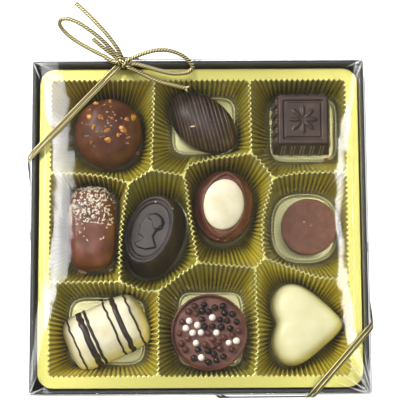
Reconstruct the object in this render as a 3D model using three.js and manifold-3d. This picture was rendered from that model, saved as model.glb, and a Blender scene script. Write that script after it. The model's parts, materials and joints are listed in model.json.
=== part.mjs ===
// A box of chocolate pralines: a dark card base, a fluted gold tray with ten sweets, a clear lid over
// it all, and a gold elastic whose doubled strand crosses two corners and is tied in a bow.
// Millimetres, +Z up. The origin is the middle of the footprint, on the surface the box stands on.
import * as THREE from 'three';
import { mergeVertices } from 'three/addons/utils/BufferGeometryUtils.js';
import Module from 'manifold-3d';

const wasm = await Module();
wasm.setup();

// Elastic and bow
const STRAND = 1.2;
const STRAND_SPACING = 1.5;
const CORD = 1.75;
const CLEAR = 0.1;

// Clear lid
const LID_SIDE = 140;
const LID_FILM = 0.5;
const LID_EDGE = 31.1;
const LID_CROWN = 0.7;
const LID_FOOT = 1.8;

// Card base
const BASE_SIDE = 138.4;
const BASE_CARD = 0.8;
const BASE_WALL = 2 * BASE_CARD;
const BASE_BOTTOM = STRAND + CLEAR;
const BASE_RIM = 30.2;

// Gold tray
const TRAY_SIDE = 134.8;
const TRAY_CORNER = 5.5;
const TRAY_SHEET = 0.6;
const FLANGE_TOP = 25.3;
const CUP_FLOOR = 2.8;
const FLUTE_PITCH = 2.2;
const FLUTE_DEPTH = 0.45;
const RIDGE_WIDTH = 0.7;

// Sweets stand just clear of the cup floors
const SWEET_BASE = CUP_FLOOR + 0.15;

const material = (name, color, roughness, metalness = 0) =>
  new THREE.MeshStandardMaterial({ name, color, roughness, metalness });
const goldCord = material('gold_cord', 0xd9c37a, 0.4, 0.6);
const clearFilm = material('clear_film', 0xf2f4f4, 0.08);
const darkCard = material('dark_card', 0x24241f, 0.4);
const goldTray = material('gold_tray', 0xd8cc5c, 0.3, 0.7);
const milkChocolate = material('milk_chocolate', 0x5a3120, 0.4);
const darkChocolate = material('dark_chocolate', 0x33231f, 0.4);
const whiteChocolate = material('white_chocolate', 0xefe3b4, 0.45);

const box = new THREE.Group();

function add(name, geometry, look, [x, y, z] = [0, 0, 0], turn = 0) {
  const mesh = new THREE.Mesh(geometry, look);
  mesh.name = name;
  mesh.position.set(x, y, z);
  mesh.rotation.z = turn;
  box.add(mesh);
  return mesh;
}

const degrees = THREE.MathUtils.degToRad;

// A closed geometry as a solid that can be cut and joined, and back again
function solidOf(geometry) {
  const bare = new THREE.BufferGeometry();
  bare.setAttribute('position', geometry.getAttribute('position'));
  bare.setIndex(geometry.getIndex());
  const merged = mergeVertices(bare, 1e-4);
  return new wasm.Manifold(new wasm.Mesh({
    numProp: 3,
    vertProperties: new Float32Array(merged.getAttribute('position').array),
    triVerts: new Uint32Array(merged.getIndex().array),
  }));
}

function geometryOf(solid) {
  const mesh = solid.getMesh();
  const geometry = new THREE.BufferGeometry();
  geometry.setAttribute('position', new THREE.BufferAttribute(mesh.vertProperties, 3));
  geometry.setIndex(new THREE.BufferAttribute(mesh.triVerts, 1));
  return geometry;
}

const joined = (solids) => solids.reduce((whole, piece) => whole.add(piece));

function meshOf(points, faces) {
  const geometry = new THREE.BufferGeometry();
  geometry.setAttribute('position', new THREE.Float32BufferAttribute(points.flatMap((p) => p.toArray()), 3));
  geometry.setIndex(faces);
  return geometry;
}

const middleOf = (ring) =>
  ring.reduce((sum, p) => sum.add(p), new THREE.Vector3()).divideScalar(ring.length);

// A closed skin over rings of equally many points, each ring anticlockwise seen from the last one's side
function loft(rings) {
  const count = rings[0].length;
  const last = (rings.length - 1) * count;
  const points = [...rings.flat(), middleOf(rings[0]), middleOf(rings.at(-1))];
  const faces = [];
  for (let k = 0; k < count; k++) {
    const next = (k + 1) % count;
    for (let r = 0; r < rings.length - 1; r++) {
      const a = r * count + k;
      const b = r * count + next;
      faces.push(a, b, b + count, a, b + count, a + count);
    }
    faces.push(points.length - 2, next, k);
    faces.push(points.length - 1, last + k, last + next);
  }
  return meshOf(points, faces);
}

// The same outline at each [scale, height] of a profile
function rise(outline, count, profile) {
  return loft(profile.map(([scale, z]) => Array.from({ length: count }, (_, k) => {
    const [x, y] = outline((k / count) * 2 * Math.PI);
    return new THREE.Vector3(x * scale, y * scale, z);
  })));
}

// A rounded outline: power 2 is an ellipse, larger powers come closer to a rectangle
function oval(halfLength, halfWidth, power = 2) {
  const bend = (value) => Math.sign(value) * Math.abs(value) ** (2 / power);
  return (angle) => [halfLength * bend(Math.cos(angle)), halfWidth * bend(Math.sin(angle))];
}

// Repeatable scatter from 0 to 1
const scatter = (seed) => {
  const value = Math.sin(seed * 12.9898) * 43758.5453;
  return value - Math.floor(value);
};

// Card base: a shallow square box, open on top, its walls folded double
const blockOf = (width, depth, low, high) =>
  new THREE.BoxGeometry(width, depth, high - low).translate(0, 0, (low + high) / 2);
const baseInside = BASE_SIDE - 2 * BASE_WALL;
const baseHollow = solidOf(blockOf(baseInside, baseInside, BASE_BOTTOM + BASE_CARD, BASE_RIM + 1));
const baseBlock = solidOf(blockOf(BASE_SIDE, BASE_SIDE, BASE_BOTTOM, BASE_RIM));
add('box_base', geometryOf(baseBlock.subtract(baseHollow)), darkCard);

// Lid: film folded down over the base, its top slightly crowned
const half = LID_SIDE / 2;
const crown = (x, y) => LID_CROWN * (1 - (x / half) ** 2) * (1 - (y / half) ** 2);

function squareRing(reach, steps, heightAt) {
  const ring = [];
  for (let side = 0; side < 4; side++) {
    for (let k = 0; k < steps; k++) {
      const along = reach * ((2 * k) / steps - 1);
      const point = new THREE.Vector2(reach, along).rotateAround(new THREE.Vector2(), (side * Math.PI) / 2);
      ring.push(new THREE.Vector3(point.x, point.y, heightAt(point.x, point.y)));
    }
  }
  return ring;
}

const LID_STEPS = 4;
const lidSkin = (reach, inset) => [
  squareRing(reach, LID_STEPS, () => LID_FOOT - inset),
  ...[1, 0.66, 0.33].map((share) =>
    squareRing(reach * share, LID_STEPS, (x, y) => LID_EDGE - inset + crown(x, y))),
];
const lidInside = solidOf(loft(lidSkin(half - LID_FILM, LID_FILM)));
add('lid', geometryOf(solidOf(loft(lidSkin(half, 0))).subtract(lidInside)), clearFilm);

// Tray: where the ridges between the cups meet, and where a ridge bends on its way
const FIELD = 62.3;
const JUNCTIONS = {
  tl: [-FIELD, FIELD], t1: [-18.6, FIELD], t2: [21.8, FIELD], tr: [FIELD, FIELD],
  r1: [FIELD, 22.7], r2: [FIELD, -22.3], br: [FIELD, -FIELD], b2: [22.7, -FIELD],
  b1: [-17.1, -FIELD], bl: [-FIELD, -FIELD], l2: [-FIELD, -23.3], l1: [-FIELD, 22.7],
  a: [-29.1, 18.3], b: [-19.9, 23.9], c: [-6.1, 21.5], d: [22.1, 30.8], e: [31.4, 20.1],
  f: [-32.8, -23.2], g: [-17, -26.9], h: [-0.4, -15.3], i: [23.4, -17.5], j: [27.4, -13.6],
};
const BENDS = {
  'a l1': [[-39.2, 20.9], [-49.7, 22.2]],
  'c d': [[-3.6, 25.8], [6.9, 28.7], [15.4, 29.7]],
  'd e': [[26.7, 26.5]],
  'e r1': [[42.5, 22.3]],
  'a f': [[-30.4, 11.1], [-32.4, -3.6]],
  'f g': [[-26.6, -25.4], [-21.2, -27]],
  'g h': [[-12.9, -24.2], [-8.7, -20.9]],
  'c h': [[-4.9, 15.2], [-3.7, 4.6], [-1.6, -8]],
  'e j': [[29.4, 12.9], [27.2, 4.5], [26.7, -6]],
  'j r2': [[37.8, -17.4], [50.1, -21.6]],
  'b2 i': [[24.1, -47.5], [23.5, -31]],
};
// Each cup: its junctions, anticlockwise, how far its wall runs inwards on the way down, and how far
// the floor then lies off the brim's middle. A cup drawn close round its sweet has an oval floor.
const CUPS = [
  {
    corners: ['tl', 'l1', 'a', 'b', 't1'], run: 3, offset: [0, 0],
    floor: { middle: [-38.7, 42], half: [15, 15.4], turn: 0, power: 2 },
  },
  { corners: ['t1', 'b', 'c', 'd', 't2'], run: 3.8, offset: [0, 1.4] },
  { corners: ['t2', 'd', 'e', 'r1', 'tr'], run: 4.8, offset: [2.2, 2.4] },
  { corners: ['l1', 'l2', 'f', 'a'], run: 3.2, offset: [0, 0.9] },
  { corners: ['a', 'f', 'g', 'h', 'c', 'b'], run: 1.4, offset: [-0.5, -0.2] },
  {
    corners: ['c', 'h', 'i', 'j', 'e', 'd'], run: 2.6, offset: [0, 0],
    floor: { middle: [10.8, 9.6], half: [13.5, 16.6], turn: -7, power: 2 },
  },
  {
    corners: ['e', 'j', 'r2', 'r1'], run: 2, offset: [-0.6, 0.3],
    floor: { middle: [45.9, 1], half: [14.6, 15.2], turn: 0, power: 2.5 },
  },
  { corners: ['l2', 'bl', 'b1', 'g', 'f'], run: 4, offset: [0.4, 0.2] },
  { corners: ['g', 'b1', 'b2', 'i', 'h'], run: 5.2, offset: [0.6, 0] },
  {
    corners: ['i', 'b2', 'br', 'r2', 'j'], run: 1.6, offset: [0.4, 0],
    floor: { middle: [44.2, -40.4], half: [16.4, 18.8], turn: 0, power: 2.7 },
  },
];

// One ridge, from its first junction in the alphabet to the other, so that both cups share its flutes
function ridgeOf(from, to) {
  const [first, last] = [from, to].sort();
  const places = [JUNCTIONS[first], ...(BENDS[`${first} ${last}`] ?? []), JUNCTIONS[last]];
  const curve = new THREE.CatmullRomCurve3(places.map(([x, y]) => new THREE.Vector3(x, y, 0)));
  const flutes = Math.round(curve.getLength() / FLUTE_PITCH);
  return { curve, flutes, bends: places.length - 2, reversed: first !== from };
}

function ridgePoint(ridge, share) {
  const at = ridge.reversed ? 1 - share : share;
  const along = ridge.curve.getTangentAt(at).multiplyScalar(ridge.reversed ? -1 : 1);
  return { place: ridge.curve.getPointAt(at), along, inward: new THREE.Vector3(-along.y, along.x, 0) };
}

// A cup's outline, moved inwards, with each ridge divided as stepsOf says
function cupOutline(corners, inset, stepsOf) {
  const ridges = corners.map((from, k) => ridgeOf(from, corners[(k + 1) % corners.length]));
  const slack = ridges.map((ridge, k) => {
    const arriving = ridgePoint(ridges.at(k - 1), 1).along;
    const leaving = ridgePoint(ridge, 0).along;
    const inner = Math.PI - Math.atan2(arriving.clone().cross(leaving).z, arriving.dot(leaving));
    return inset / Math.tan(inner / 2);
  });
  return ridges.flatMap((ridge, k) => Array.from({ length: stepsOf(ridge) }, (_, step) => {
    const share = step / stepsOf(ridge);
    const { place, along, inward } = ridgePoint(ridge, share);
    const shift = THREE.MathUtils.lerp(slack[k], -slack[(k + 1) % slack.length], share);
    const wave = step === 0 ? 0 : (step % 2 ? 1 : -1) * (ridge.reversed ? -1 : 1);
    place.addScaledVector(inward, inset).addScaledVector(along, shift);
    return { place, out: inward.multiplyScalar(-wave) };
  }));
}

// Rounds the corners of a closed outline by letting each point follow its neighbours
function softened(outline, passes) {
  let places = outline.map((point) => point.place);
  for (let pass = 0; pass < passes; pass++) {
    places = places.map((place, k) => place.clone().multiplyScalar(2)
      .add(places.at(k - 1)).add(places[(k + 1) % places.length]).divideScalar(4));
  }
  return places.map((place, k) => ({ place, out: outline[k].out }));
}

const ringAt = (outline, z, waviness = 0, [x, y] = [0, 0]) => outline.map(({ place, out }) =>
  place.clone().addScaledVector(out, waviness).add(new THREE.Vector3(x, y, z)));

// An oval floor: the end of each flute lies on the oval, straight towards the floor's middle
function ovalFloor(outline, { middle: [x, y], half: [a, b], turn, power }) {
  const middle = new THREE.Vector3(x, y, 0);
  const upright = new THREE.Vector3(0, 0, 1);
  return outline.map(({ place }) => {
    const off = place.clone().sub(middle).applyAxisAngle(upright, -degrees(turn));
    const reach = (Math.abs(off.x / a) ** power + Math.abs(off.y / b) ** power) ** (1 / power);
    return off.divideScalar(reach).applyAxisAngle(upright, degrees(turn)).add(middle).setZ(CUP_FLOOR);
  });
}

// The hollow of a cup: straight at the floor, folded into a zigzag at the brim
function cupHollow({ corners, run, offset, floor }) {
  const plain = softened(cupOutline(corners, run, (ridge) => ridge.flutes), 6);
  const low = floor ? ovalFloor(plain, floor) : ringAt(plain, CUP_FLOOR, 0, offset);
  const edge = softened(cupOutline(corners, RIDGE_WIDTH / 2, (ridge) => 2 * ridge.flutes), 3);
  const high = ringAt(edge, FLANGE_TOP, FLUTE_DEPTH);
  const count = low.length;
  const points = [...low, ...high, middleOf(low), middleOf(high)];
  const faces = [];
  for (let k = 0; k < count; k++) {
    const next = (k + 1) % count;
    const [left, peak, right] = [count + 2 * k, count + 2 * k + 1, count + 2 * next];
    faces.push(k, next, peak, k, peak, left, next, right, peak);
    faces.push(3 * count, next, k);
    faces.push(3 * count + 1, left, peak, 3 * count + 1, peak, right);
  }
  return solidOf(meshOf(points, faces));
}

// The plain outside of a cup, one sheet's thickness larger
function cupOutside({ corners, run, offset }) {
  const plain = (inset) => cupOutline(corners, inset, (ridge) => ridge.bends + 1);
  const outer = FLUTE_DEPTH + TRAY_SHEET;
  const low = ringAt(plain(run - TRAY_SHEET), CUP_FLOOR - TRAY_SHEET, 0, offset);
  return solidOf(loft([low, ringAt(plain(-outer), FLANGE_TOP - TRAY_SHEET / 2)]));
}

function roundedSquare(side, radius) {
  const reach = side / 2 - radius;
  const shape = new THREE.Shape();
  for (let corner = 0; corner < 4; corner++) {
    const start = (corner * Math.PI) / 2;
    const [x, y] = [[1, 1], [-1, 1], [-1, -1], [1, -1]][corner];
    shape.absarc(x * reach, y * reach, radius, start, start + Math.PI / 2);
  }
  return shape;
}

const flange = new THREE.ExtrudeGeometry(roundedSquare(TRAY_SIDE, TRAY_CORNER), {
  depth: TRAY_SHEET, bevelEnabled: false, curveSegments: 4,
}).translate(0, 0, FLANGE_TOP - TRAY_SHEET);
const traySheet = joined([solidOf(flange), ...CUPS.map(cupOutside)]);
add('tray', geometryOf(traySheet.subtract(joined(CUPS.map(cupHollow)))), goldTray);

// Ball truffle with chopped nuts on its crown
const BALL_RADIUS = 14.6;
const BALL_HALF_LENGTH = 15.1;
const BALL_HEIGHT = 20.5;
const CROWN_FLATNESS = 0.62;
const NUT_HEIGHT = 1.5;
const NUT_NARROWING = 0.75;
// Each chopped nut: where it lies from the crown, and its length
const NUTS = [
  [-4.8, 11.4, 2], [1.1, 12.6, 1.7], [10.9, 5.6, 3.2], [-7.5, 5.5, 2.2], [-2.7, 5, 2.4],
  [2.3, 4.2, 1.6], [6.5, -0.2, 2.8], [0.3, -1, 2.6], [0.7, -5, 2.6], [-5.4, 0.7, 2],
  [-8.1, 1.5, 1.3], [8.2, 4.2, 1.5], [-6.4, -5.6, 1.2], [4.8, -2.7, 1.4],
];
function truffle() {
  const profile = [[0.62, 0], [0.86, 2.5], [0.99, 6.5], [1, 9.5], [0.93, 13.5], [0.75, 17], [0.48, 19.4],
    [0.2, BALL_HEIGHT]];
  const pieces = [solidOf(rise(oval(BALL_RADIUS, BALL_HALF_LENGTH), 22, profile))];
  NUTS.forEach(([x, y, length], k) => {
    const nut = new THREE.BoxGeometry(length, length * NUT_NARROWING, NUT_HEIGHT);
    nut.rotateX(scatter(k + 80) - 0.5).rotateZ(2 * Math.PI * scatter(k + 120));
    const fall = 1 - Math.sqrt(1 - (Math.hypot(x, y) / BALL_RADIUS) ** 2);
    pieces.push(solidOf(nut.translate(x, y, BALL_HEIGHT * (1 - fall * CROWN_FLATNESS))));
  });
  return geometryOf(joined(pieces));
}
add('nut_truffle', truffle(), milkChocolate, [-38.7, 42, SWEET_BASE]);

// A flat-bottomed section standing up at x: an arch from right to left, tucked in below TUCK_HEIGHT
const TUCK = 0.24;
const TUCK_HEIGHT = 8.5;
function arch(x, count, middle, halfWidth, height, power) {
  const bend = (value) => Math.abs(value) ** (2 / power);
  return Array.from({ length: count }, (_, k) => {
    const angle = (k / (count - 1)) * Math.PI;
    const z = height * bend(Math.sin(angle));
    const side = Math.sign(Math.cos(angle)) * bend(Math.cos(angle));
    const tuck = 1 - TUCK * Math.max(0, 1 - z / TUCK_HEIGHT);
    return new THREE.Vector3(x, middle + halfWidth * side * tuck, z);
  });
}

// Long dark praline under fine parallel threads, which run askew to its length
const LONG_HALF = 18.4;
const LONG_HALF_WIDTH = 12.2;
const LONG_HEIGHT = 16.5;
const LONG_TURN = degrees(-38);
const THREAD_TURN = degrees(15);
const THREAD_PITCH = 2.2;
const THREAD_RELIEF = 0.55;
function threadedPraline() {
  const [cos, sin] = [Math.cos(LONG_TURN - THREAD_TURN), Math.sin(LONG_TURN - THREAD_TURN)];
  const reach = Math.hypot(LONG_HALF * cos, LONG_HALF_WIDTH * sin);
  const lean = ((LONG_HALF ** 2 - LONG_HALF_WIDTH ** 2) * sin * cos) / reach ** 2;
  const width = (LONG_HALF * LONG_HALF_WIDTH) / reach;
  const slices = 2 * Math.floor(reach / THREAD_PITCH) + 1;
  const rings = [];
  for (let k = -slices + 1; k < slices; k++) {
    const x = (k * reach * 0.985) / (slices - 1);
    const fall = 1 - (x / reach) ** 2;
    const relief = k % 2 ? THREAD_RELIEF : 0;
    const height = LONG_HEIGHT * fall ** 0.36 + relief * fall;
    rings.push(arch(x, 10, lean * x, width * Math.sqrt(fall), height, 2.5));
  }
  return loft(rings);
}
add('threaded_praline', threadedPraline(), darkChocolate, [2, 46.6, SWEET_BASE], THREAD_TURN);

// Square dark praline: ribbed sloping sides, a raised frame and an eight-petalled star
const SQUARE_BASE = 24.6;
const SQUARE_TOP = 20.4;
const SQUARE_HEIGHT = 17.6;
const SQUARE_ROUNDING = 1;
const FRAME_WIDTH = 1.7;
const PANEL_DEPTH = 0.9;
const PANEL_STEP = 1.2;
const STAR_LEVEL = SQUARE_HEIGHT - 0.35;
const PETALS = 8;
const PETAL = { reach: 3.6, halfLength: 3.1, halfWidth: 0.95, halfHeight: 0.8 };
const RIBS = 5;
const RIB = { pitch: 4.1, width: 1.3, depth: 1.2, height: SQUARE_HEIGHT - 2.8, sunk: 0.1, low: 0.4 };
function squarePraline() {
  const shape = [
    [SQUARE_BASE - SQUARE_ROUNDING, 0],
    [SQUARE_BASE, SQUARE_ROUNDING],
    [SQUARE_TOP + SQUARE_ROUNDING, SQUARE_HEIGHT - SQUARE_ROUNDING],
    [SQUARE_TOP, SQUARE_HEIGHT],
  ];
  const body = solidOf(loft(shape.map(([side, z]) => squareRing(side / 2, 2, () => z))));
  const panel = SQUARE_TOP - 2 * FRAME_WIDTH;
  const field = panel - 2 * PANEL_STEP;
  const sunk = solidOf(blockOf(panel, panel, SQUARE_HEIGHT - PANEL_DEPTH, SQUARE_HEIGHT + 1));
  const raised = [solidOf(blockOf(field, field, SQUARE_HEIGHT - PANEL_STEP, STAR_LEVEL))];
  for (let petal = 0; petal < PETALS; petal++) {
    const leaf = new THREE.SphereGeometry(1, 6, 4).scale(PETAL.halfLength, PETAL.halfWidth, PETAL.halfHeight);
    leaf.translate(PETAL.reach, 0, STAR_LEVEL).rotateZ((petal / PETALS) * 2 * Math.PI);
    raised.push(solidOf(leaf));
  }
  const slope = (SQUARE_BASE - SQUARE_TOP) / 2 - SQUARE_ROUNDING / 2;
  for (let side = 0; side < 4; side++) {
    for (let k = 0; k < RIBS; k++) {
      const rib = new THREE.BoxGeometry(RIB.width, RIB.depth, RIB.height);
      rib.rotateX(Math.atan2(slope, SQUARE_HEIGHT - 2 * SQUARE_ROUNDING));
      const across = (k - (RIBS - 1) / 2) * RIB.pitch;
      rib.translate(across, (SQUARE_BASE + SQUARE_TOP) / 4 - RIB.sunk, SQUARE_HEIGHT / 2 - RIB.low);
      raised.push(solidOf(rib.rotateZ((side * Math.PI) / 2)));
    }
  }
  return geometryOf(joined([body.subtract(sunk), ...raised]));
}
add('square_praline', squarePraline(), darkChocolate, [44.6, 46, SWEET_BASE]);

// Milk log with shreds of coconut over one end
const MILK_LOG_HALF_WIDTH = 10.3;
const MILK_LOG_HALF = 17.9;
const MILK_LOG_HEIGHT = 18;
const SHREDS = 14;
const SHRED = { shortest: 3.2, longest: 5.2, width: 0.7, thickness: 0.6, sunk: 0.15 };
// Where shreds lie: within this much of the log's middle line, and from one cross line to the other
const SHRED_REACH = 7;
const SHRED_LINES = [4.5, 13.5];
// How far the log's back falls at its full half width and at its end
const SIDE_FALL = 4;
const END_FALL = 4.8;
function coconutLog() {
  const profile = [[0.82, 0], [0.93, 2.2], [1, 8], [0.97, 12], [0.86, 15.4], [0.64, 17.3],
    [0.3, MILK_LOG_HEIGHT]];
  const pieces = [solidOf(rise(oval(MILK_LOG_HALF_WIDTH, MILK_LOG_HALF, 3.2), 22, profile))];
  const between = (low, high, seed) => THREE.MathUtils.lerp(low, high, scatter(seed));
  for (let k = 0; k < SHREDS; k++) {
    const length = between(SHRED.shortest, SHRED.longest, k);
    const shred = new THREE.BoxGeometry(length, SHRED.width, SHRED.thickness);
    shred.rotateY(between(-0.25, 0.25, k + 20)).rotateZ(Math.PI * scatter(k + 40));
    const x = between(-SHRED_REACH, SHRED_REACH, k + 60);
    const y = between(...SHRED_LINES, k + 80);
    const fall = SIDE_FALL * (x / MILK_LOG_HALF_WIDTH) ** 2 + END_FALL * (y / MILK_LOG_HALF) ** 4;
    pieces.push(solidOf(shred.translate(x, y, MILK_LOG_HEIGHT - SHRED.sunk - fall)));
  }
  return geometryOf(joined(pieces));
}
add('coconut_log', coconutLog(), milkChocolate, [-45.5, 0.6, SWEET_BASE]);

// Dark oval with a cameo: a double rim round a sunk panel, and a plain head and shoulders in profile
const CAMEO_HEIGHT = 15.5;
const cameoHead = new THREE.Shape([
  [-4.4, -7.2], [-2.0, -5.6], [-1.3, -3.9], [-2.9, -3.3], [-4.0, -3.1], [-4.3, -2.1], [-4.0, -1.3],
  [-4.3, -0.7], [-4.1, 0.0], [-5.0, 0.7], [-4.0, 2.4], [-3.9, 4.2], [-2.6, 6.2], [0.2, 7.5], [3.2, 6.6],
  [4.9, 4.4], [4.7, 1.8], [2.7, 0.2], [2.2, -2.4], [3.6, -4.6], [5.0, -6.6], [1.0, -8.6], [-2.6, -8.5],
].map(([x, y]) => new THREE.Vector2(x, y)));
const cameoHair = new THREE.Shape([
  [-2.4, 4.6], [-1.2, 6.4], [1.0, 7.1], [3.6, 5.8], [4.5, 3.6], [3.6, 1.4], [2.0, 0.8], [0.6, 2.2],
  [-0.2, 4.0],
].map(([x, y]) => new THREE.Vector2(x, y)));
const CAMEO_GROUND = 14.3;
const HEAD_RELIEF = 0.9;
const HAIR_RELIEF = 1.4;
const CAMEO_LIFT = 3.1;
function cameoPraline() {
  const profile = [[1.12, 0], [1.18, 1.2], [1.15, 3.5], [1.02, 12.8], [1, 14.6], [0.95, CAMEO_HEIGHT],
    [0.89, CAMEO_HEIGHT], [0.86, 14.8], [0.82, 14.8], [0.79, 15.1], [0.76, CAMEO_GROUND],
    [0.4, CAMEO_GROUND]];
  const body = solidOf(rise(oval(10.15, 15.5, 2.1), 24, profile));
  const raised = (shape, relief) => solidOf(new THREE.ExtrudeGeometry(shape, {
    depth: 2 * relief, bevelEnabled: false,
  }).translate(0, 0, CAMEO_GROUND - relief));
  return geometryOf(joined([body, raised(cameoHead, HEAD_RELIEF), raised(cameoHair, HAIR_RELIEF)]));
}
const cameoPlace = [-17.95, -3.2, SWEET_BASE + CAMEO_LIFT];
const cameo = add('cameo_praline', cameoPraline(), darkChocolate, cameoPlace);
cameo.rotation.set(degrees(-9.5), degrees(-10.5), degrees(-19.5), 'XYZ');

// Milk oval with a pinched leaf-shaped ridge round a white inlay
const INLAY_SEAT = 15.6;
function inlaidPraline() {
  const profile = [[0.82, 0], [0.92, 2.5], [1, 8.5], [0.97, 11.5], [0.82, 14.6], [0.62, 16.2], [0.3, 16.4]];
  const body = solidOf(rise(oval(12.8, 15.7), 24, profile));
  const leaf = (halfWidth, halfLength) => (angle) => {
    const [x, y] = [Math.cos(angle), Math.sin(angle)];
    return [halfWidth * Math.sign(x) * Math.abs(x) ** 1.35, halfLength * y];
  };
  const ridge = [[1, 13], [1, 16.9], [0.94, 17.3]];
  const lip = solidOf(rise(leaf(9.8, 14.4), 24, ridge));
  const hollow = solidOf(rise(leaf(8.8, 13), 24, [[1, 16.3], [1, 18]]));
  const seat = solidOf(rise(oval(8.5, 10.6), 20, [[1, INLAY_SEAT], [1, 18]]));
  return geometryOf(body.add(lip).subtract(hollow).subtract(seat));
}
const inlaidPlace = [10.6, 9.8, SWEET_BASE];
add('inlaid_praline', inlaidPraline(), milkChocolate, inlaidPlace, degrees(-7));
const inlayDome = [[1, INLAY_SEAT + 0.1], [1, 17.2], [0.9, 18], [0.66, 18.7], [0.3, 19.1]];
add('white_inlay', rise(oval(8.3, 10.4), 20, inlayDome), whiteChocolate, inlaidPlace, degrees(-7));

// Round milk praline, wider at its flat top
const DISC_HEIGHT = 13.5;
const discProfile = [[0, 0], [10.6, 0], [11, 0.8], [11.9, DISC_HEIGHT - 0.8], [11.3, DISC_HEIGHT],
  [0, DISC_HEIGHT]];
const turned = (profile, sides) =>
  new THREE.LatheGeometry(profile.map(([r, z]) => new THREE.Vector2(r, z)), sides).rotateX(Math.PI / 2);
add('round_praline', geometryOf(solidOf(turned(discProfile, 26))), milkChocolate, [46.7, 0.6, SWEET_BASE]);

// White log with dark stripes laid across it: each stripe is a thicker stretch of the section
const WHITE_HALF = 17.9;
const WHITE_HALF_WIDTH = 12.9;
const WHITE_HEIGHT = 17.5;
const STRIPE_RELIEF = 0.4;
const STRIPES = [[-13.4, 0.8], [-7.3, 2.4], [-4.6, 1.2], [2.9, 0.8], [7.7, 1.7], [12.5, 0.8]];
function stripedLog() {
  const bands = STRIPES.flatMap(([middle, width]) => [[-0.5, 0], [-0.4, 1], [0.4, 1], [0.5, 0]]
    .map(([side, up]) => [middle + side * width, up * STRIPE_RELIEF]));
  const ends = [0.992, 0.96, 0.88].flatMap((share) => [[share * WHITE_HALF, 0], [-share * WHITE_HALF, 0]]);
  const rings = [...bands, ...ends, [-10.2, 0], [-0.8, 0]].sort((p, q) => p[0] - q[0]).map(([x, relief]) => {
    const share = Math.abs(x) / WHITE_HALF;
    const width = WHITE_HALF_WIDTH * (1 - share ** 6) ** 0.4 + relief;
    const height = WHITE_HEIGHT * (1 - share ** 6) ** 0.42 + relief;
    return arch(x, 10, 0, width, height, 2.7);
  });
  return loft(rings);
}
add('striped_log', stripedLog(), whiteChocolate, [-39.2, -43.2, SWEET_BASE], degrees(24.5));

// Milk cup whose filling carries sugar balls
const SHELL_RADIUS = 16;
const SHELL_HEIGHT = 17.5;
const FILL_LEVEL = 16.6;
const BALL = 1.45;
const BALLS = 28;
const BALLS_REACH = 12.1;
const BALLS_LEVEL = FILL_LEVEL + BALL / 2;
const GOLDEN_TURN = degrees(137.5);
function ballCup() {
  const profile = [[0, 0], [12.4, 0], [13.2, 1], [SHELL_RADIUS, SHELL_HEIGHT - 1],
    [SHELL_RADIUS - 0.5, SHELL_HEIGHT], [SHELL_RADIUS - 1.2, SHELL_HEIGHT],
    [SHELL_RADIUS - 1.6, FILL_LEVEL], [0, FILL_LEVEL + 0.3]];
  const pieces = [solidOf(turned(profile, 30))];
  for (let k = 0; k < BALLS; k++) {
    const reach = BALLS_REACH * Math.sqrt((k + 0.4) / BALLS);
    const angle = k * GOLDEN_TURN;
    const grain = new THREE.IcosahedronGeometry(BALL, 0);
    grain.rotateX(scatter(k + 9)).rotateZ(2 * scatter(k + 99));
    grain.translate(reach * Math.cos(angle), reach * Math.sin(angle), BALLS_LEVEL);
    pieces.push(solidOf(grain));
  }
  return geometryOf(joined(pieces));
}
add('sprinkle_cup', ballCup(), milkChocolate, [4.1, -44, SWEET_BASE]);

// Puffed white heart, its point to the right
const HEART_LENGTH = 30.6;
const HEART_WIDTH = 35.5;
function heartOutline(angle) {
  const wave = (size, count) => size * Math.cos(count * angle);
  const lobes = wave(13, 1) - wave(5, 2) - wave(2, 3) - wave(1, 4);
  const [low, high] = [-17, 11.9];
  return [
    HEART_LENGTH * (0.5 - (lobes - low) / (high - low)),
    (-HEART_WIDTH / 2) * Math.sin(angle) ** 3,
  ];
}
const heartProfile = [[0.9, 0], [0.98, 2.5], [1, 6], [0.96, 10], [0.87, 12.8], [0.7, 14.8], [0.4, 15.6]];
add('heart', rise(heartOutline, 30, heartProfile), whiteChocolate, [45.3, -40.5, SWEET_BASE]);

// A line through hand-picked points, whose rings stand at those points and at equal steps between them
class Route extends THREE.Curve {
  constructor(points, closed = false) {
    super();
    this.points = points;
    this.closed = closed;
  }

  get spans() {
    return this.points.length - (this.closed ? 0 : 1);
  }

  place(index) {
    const count = this.points.length;
    return this.points[this.closed ? (index + count) % count : THREE.MathUtils.clamp(index, 0, count - 1)];
  }

  getPoint(share, target = new THREE.Vector3()) {
    const at = share * this.spans;
    const index = Math.min(Math.floor(at + 1e-6), this.spans - 1);
    return target.lerpVectors(this.place(index), this.place(index + 1), at - index);
  }

  getPointAt(share, target) {
    return this.getPoint(share, target);
  }

  getTangentAt(share, target = new THREE.Vector3()) {
    const index = Math.round(share * this.spans);
    const before = this.place(index).clone().sub(this.place(index - 1)).normalize();
    const after = this.place(index + 1).clone().sub(this.place(index)).normalize();
    return target.copy(before).add(after).normalize();
  }
}

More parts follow.
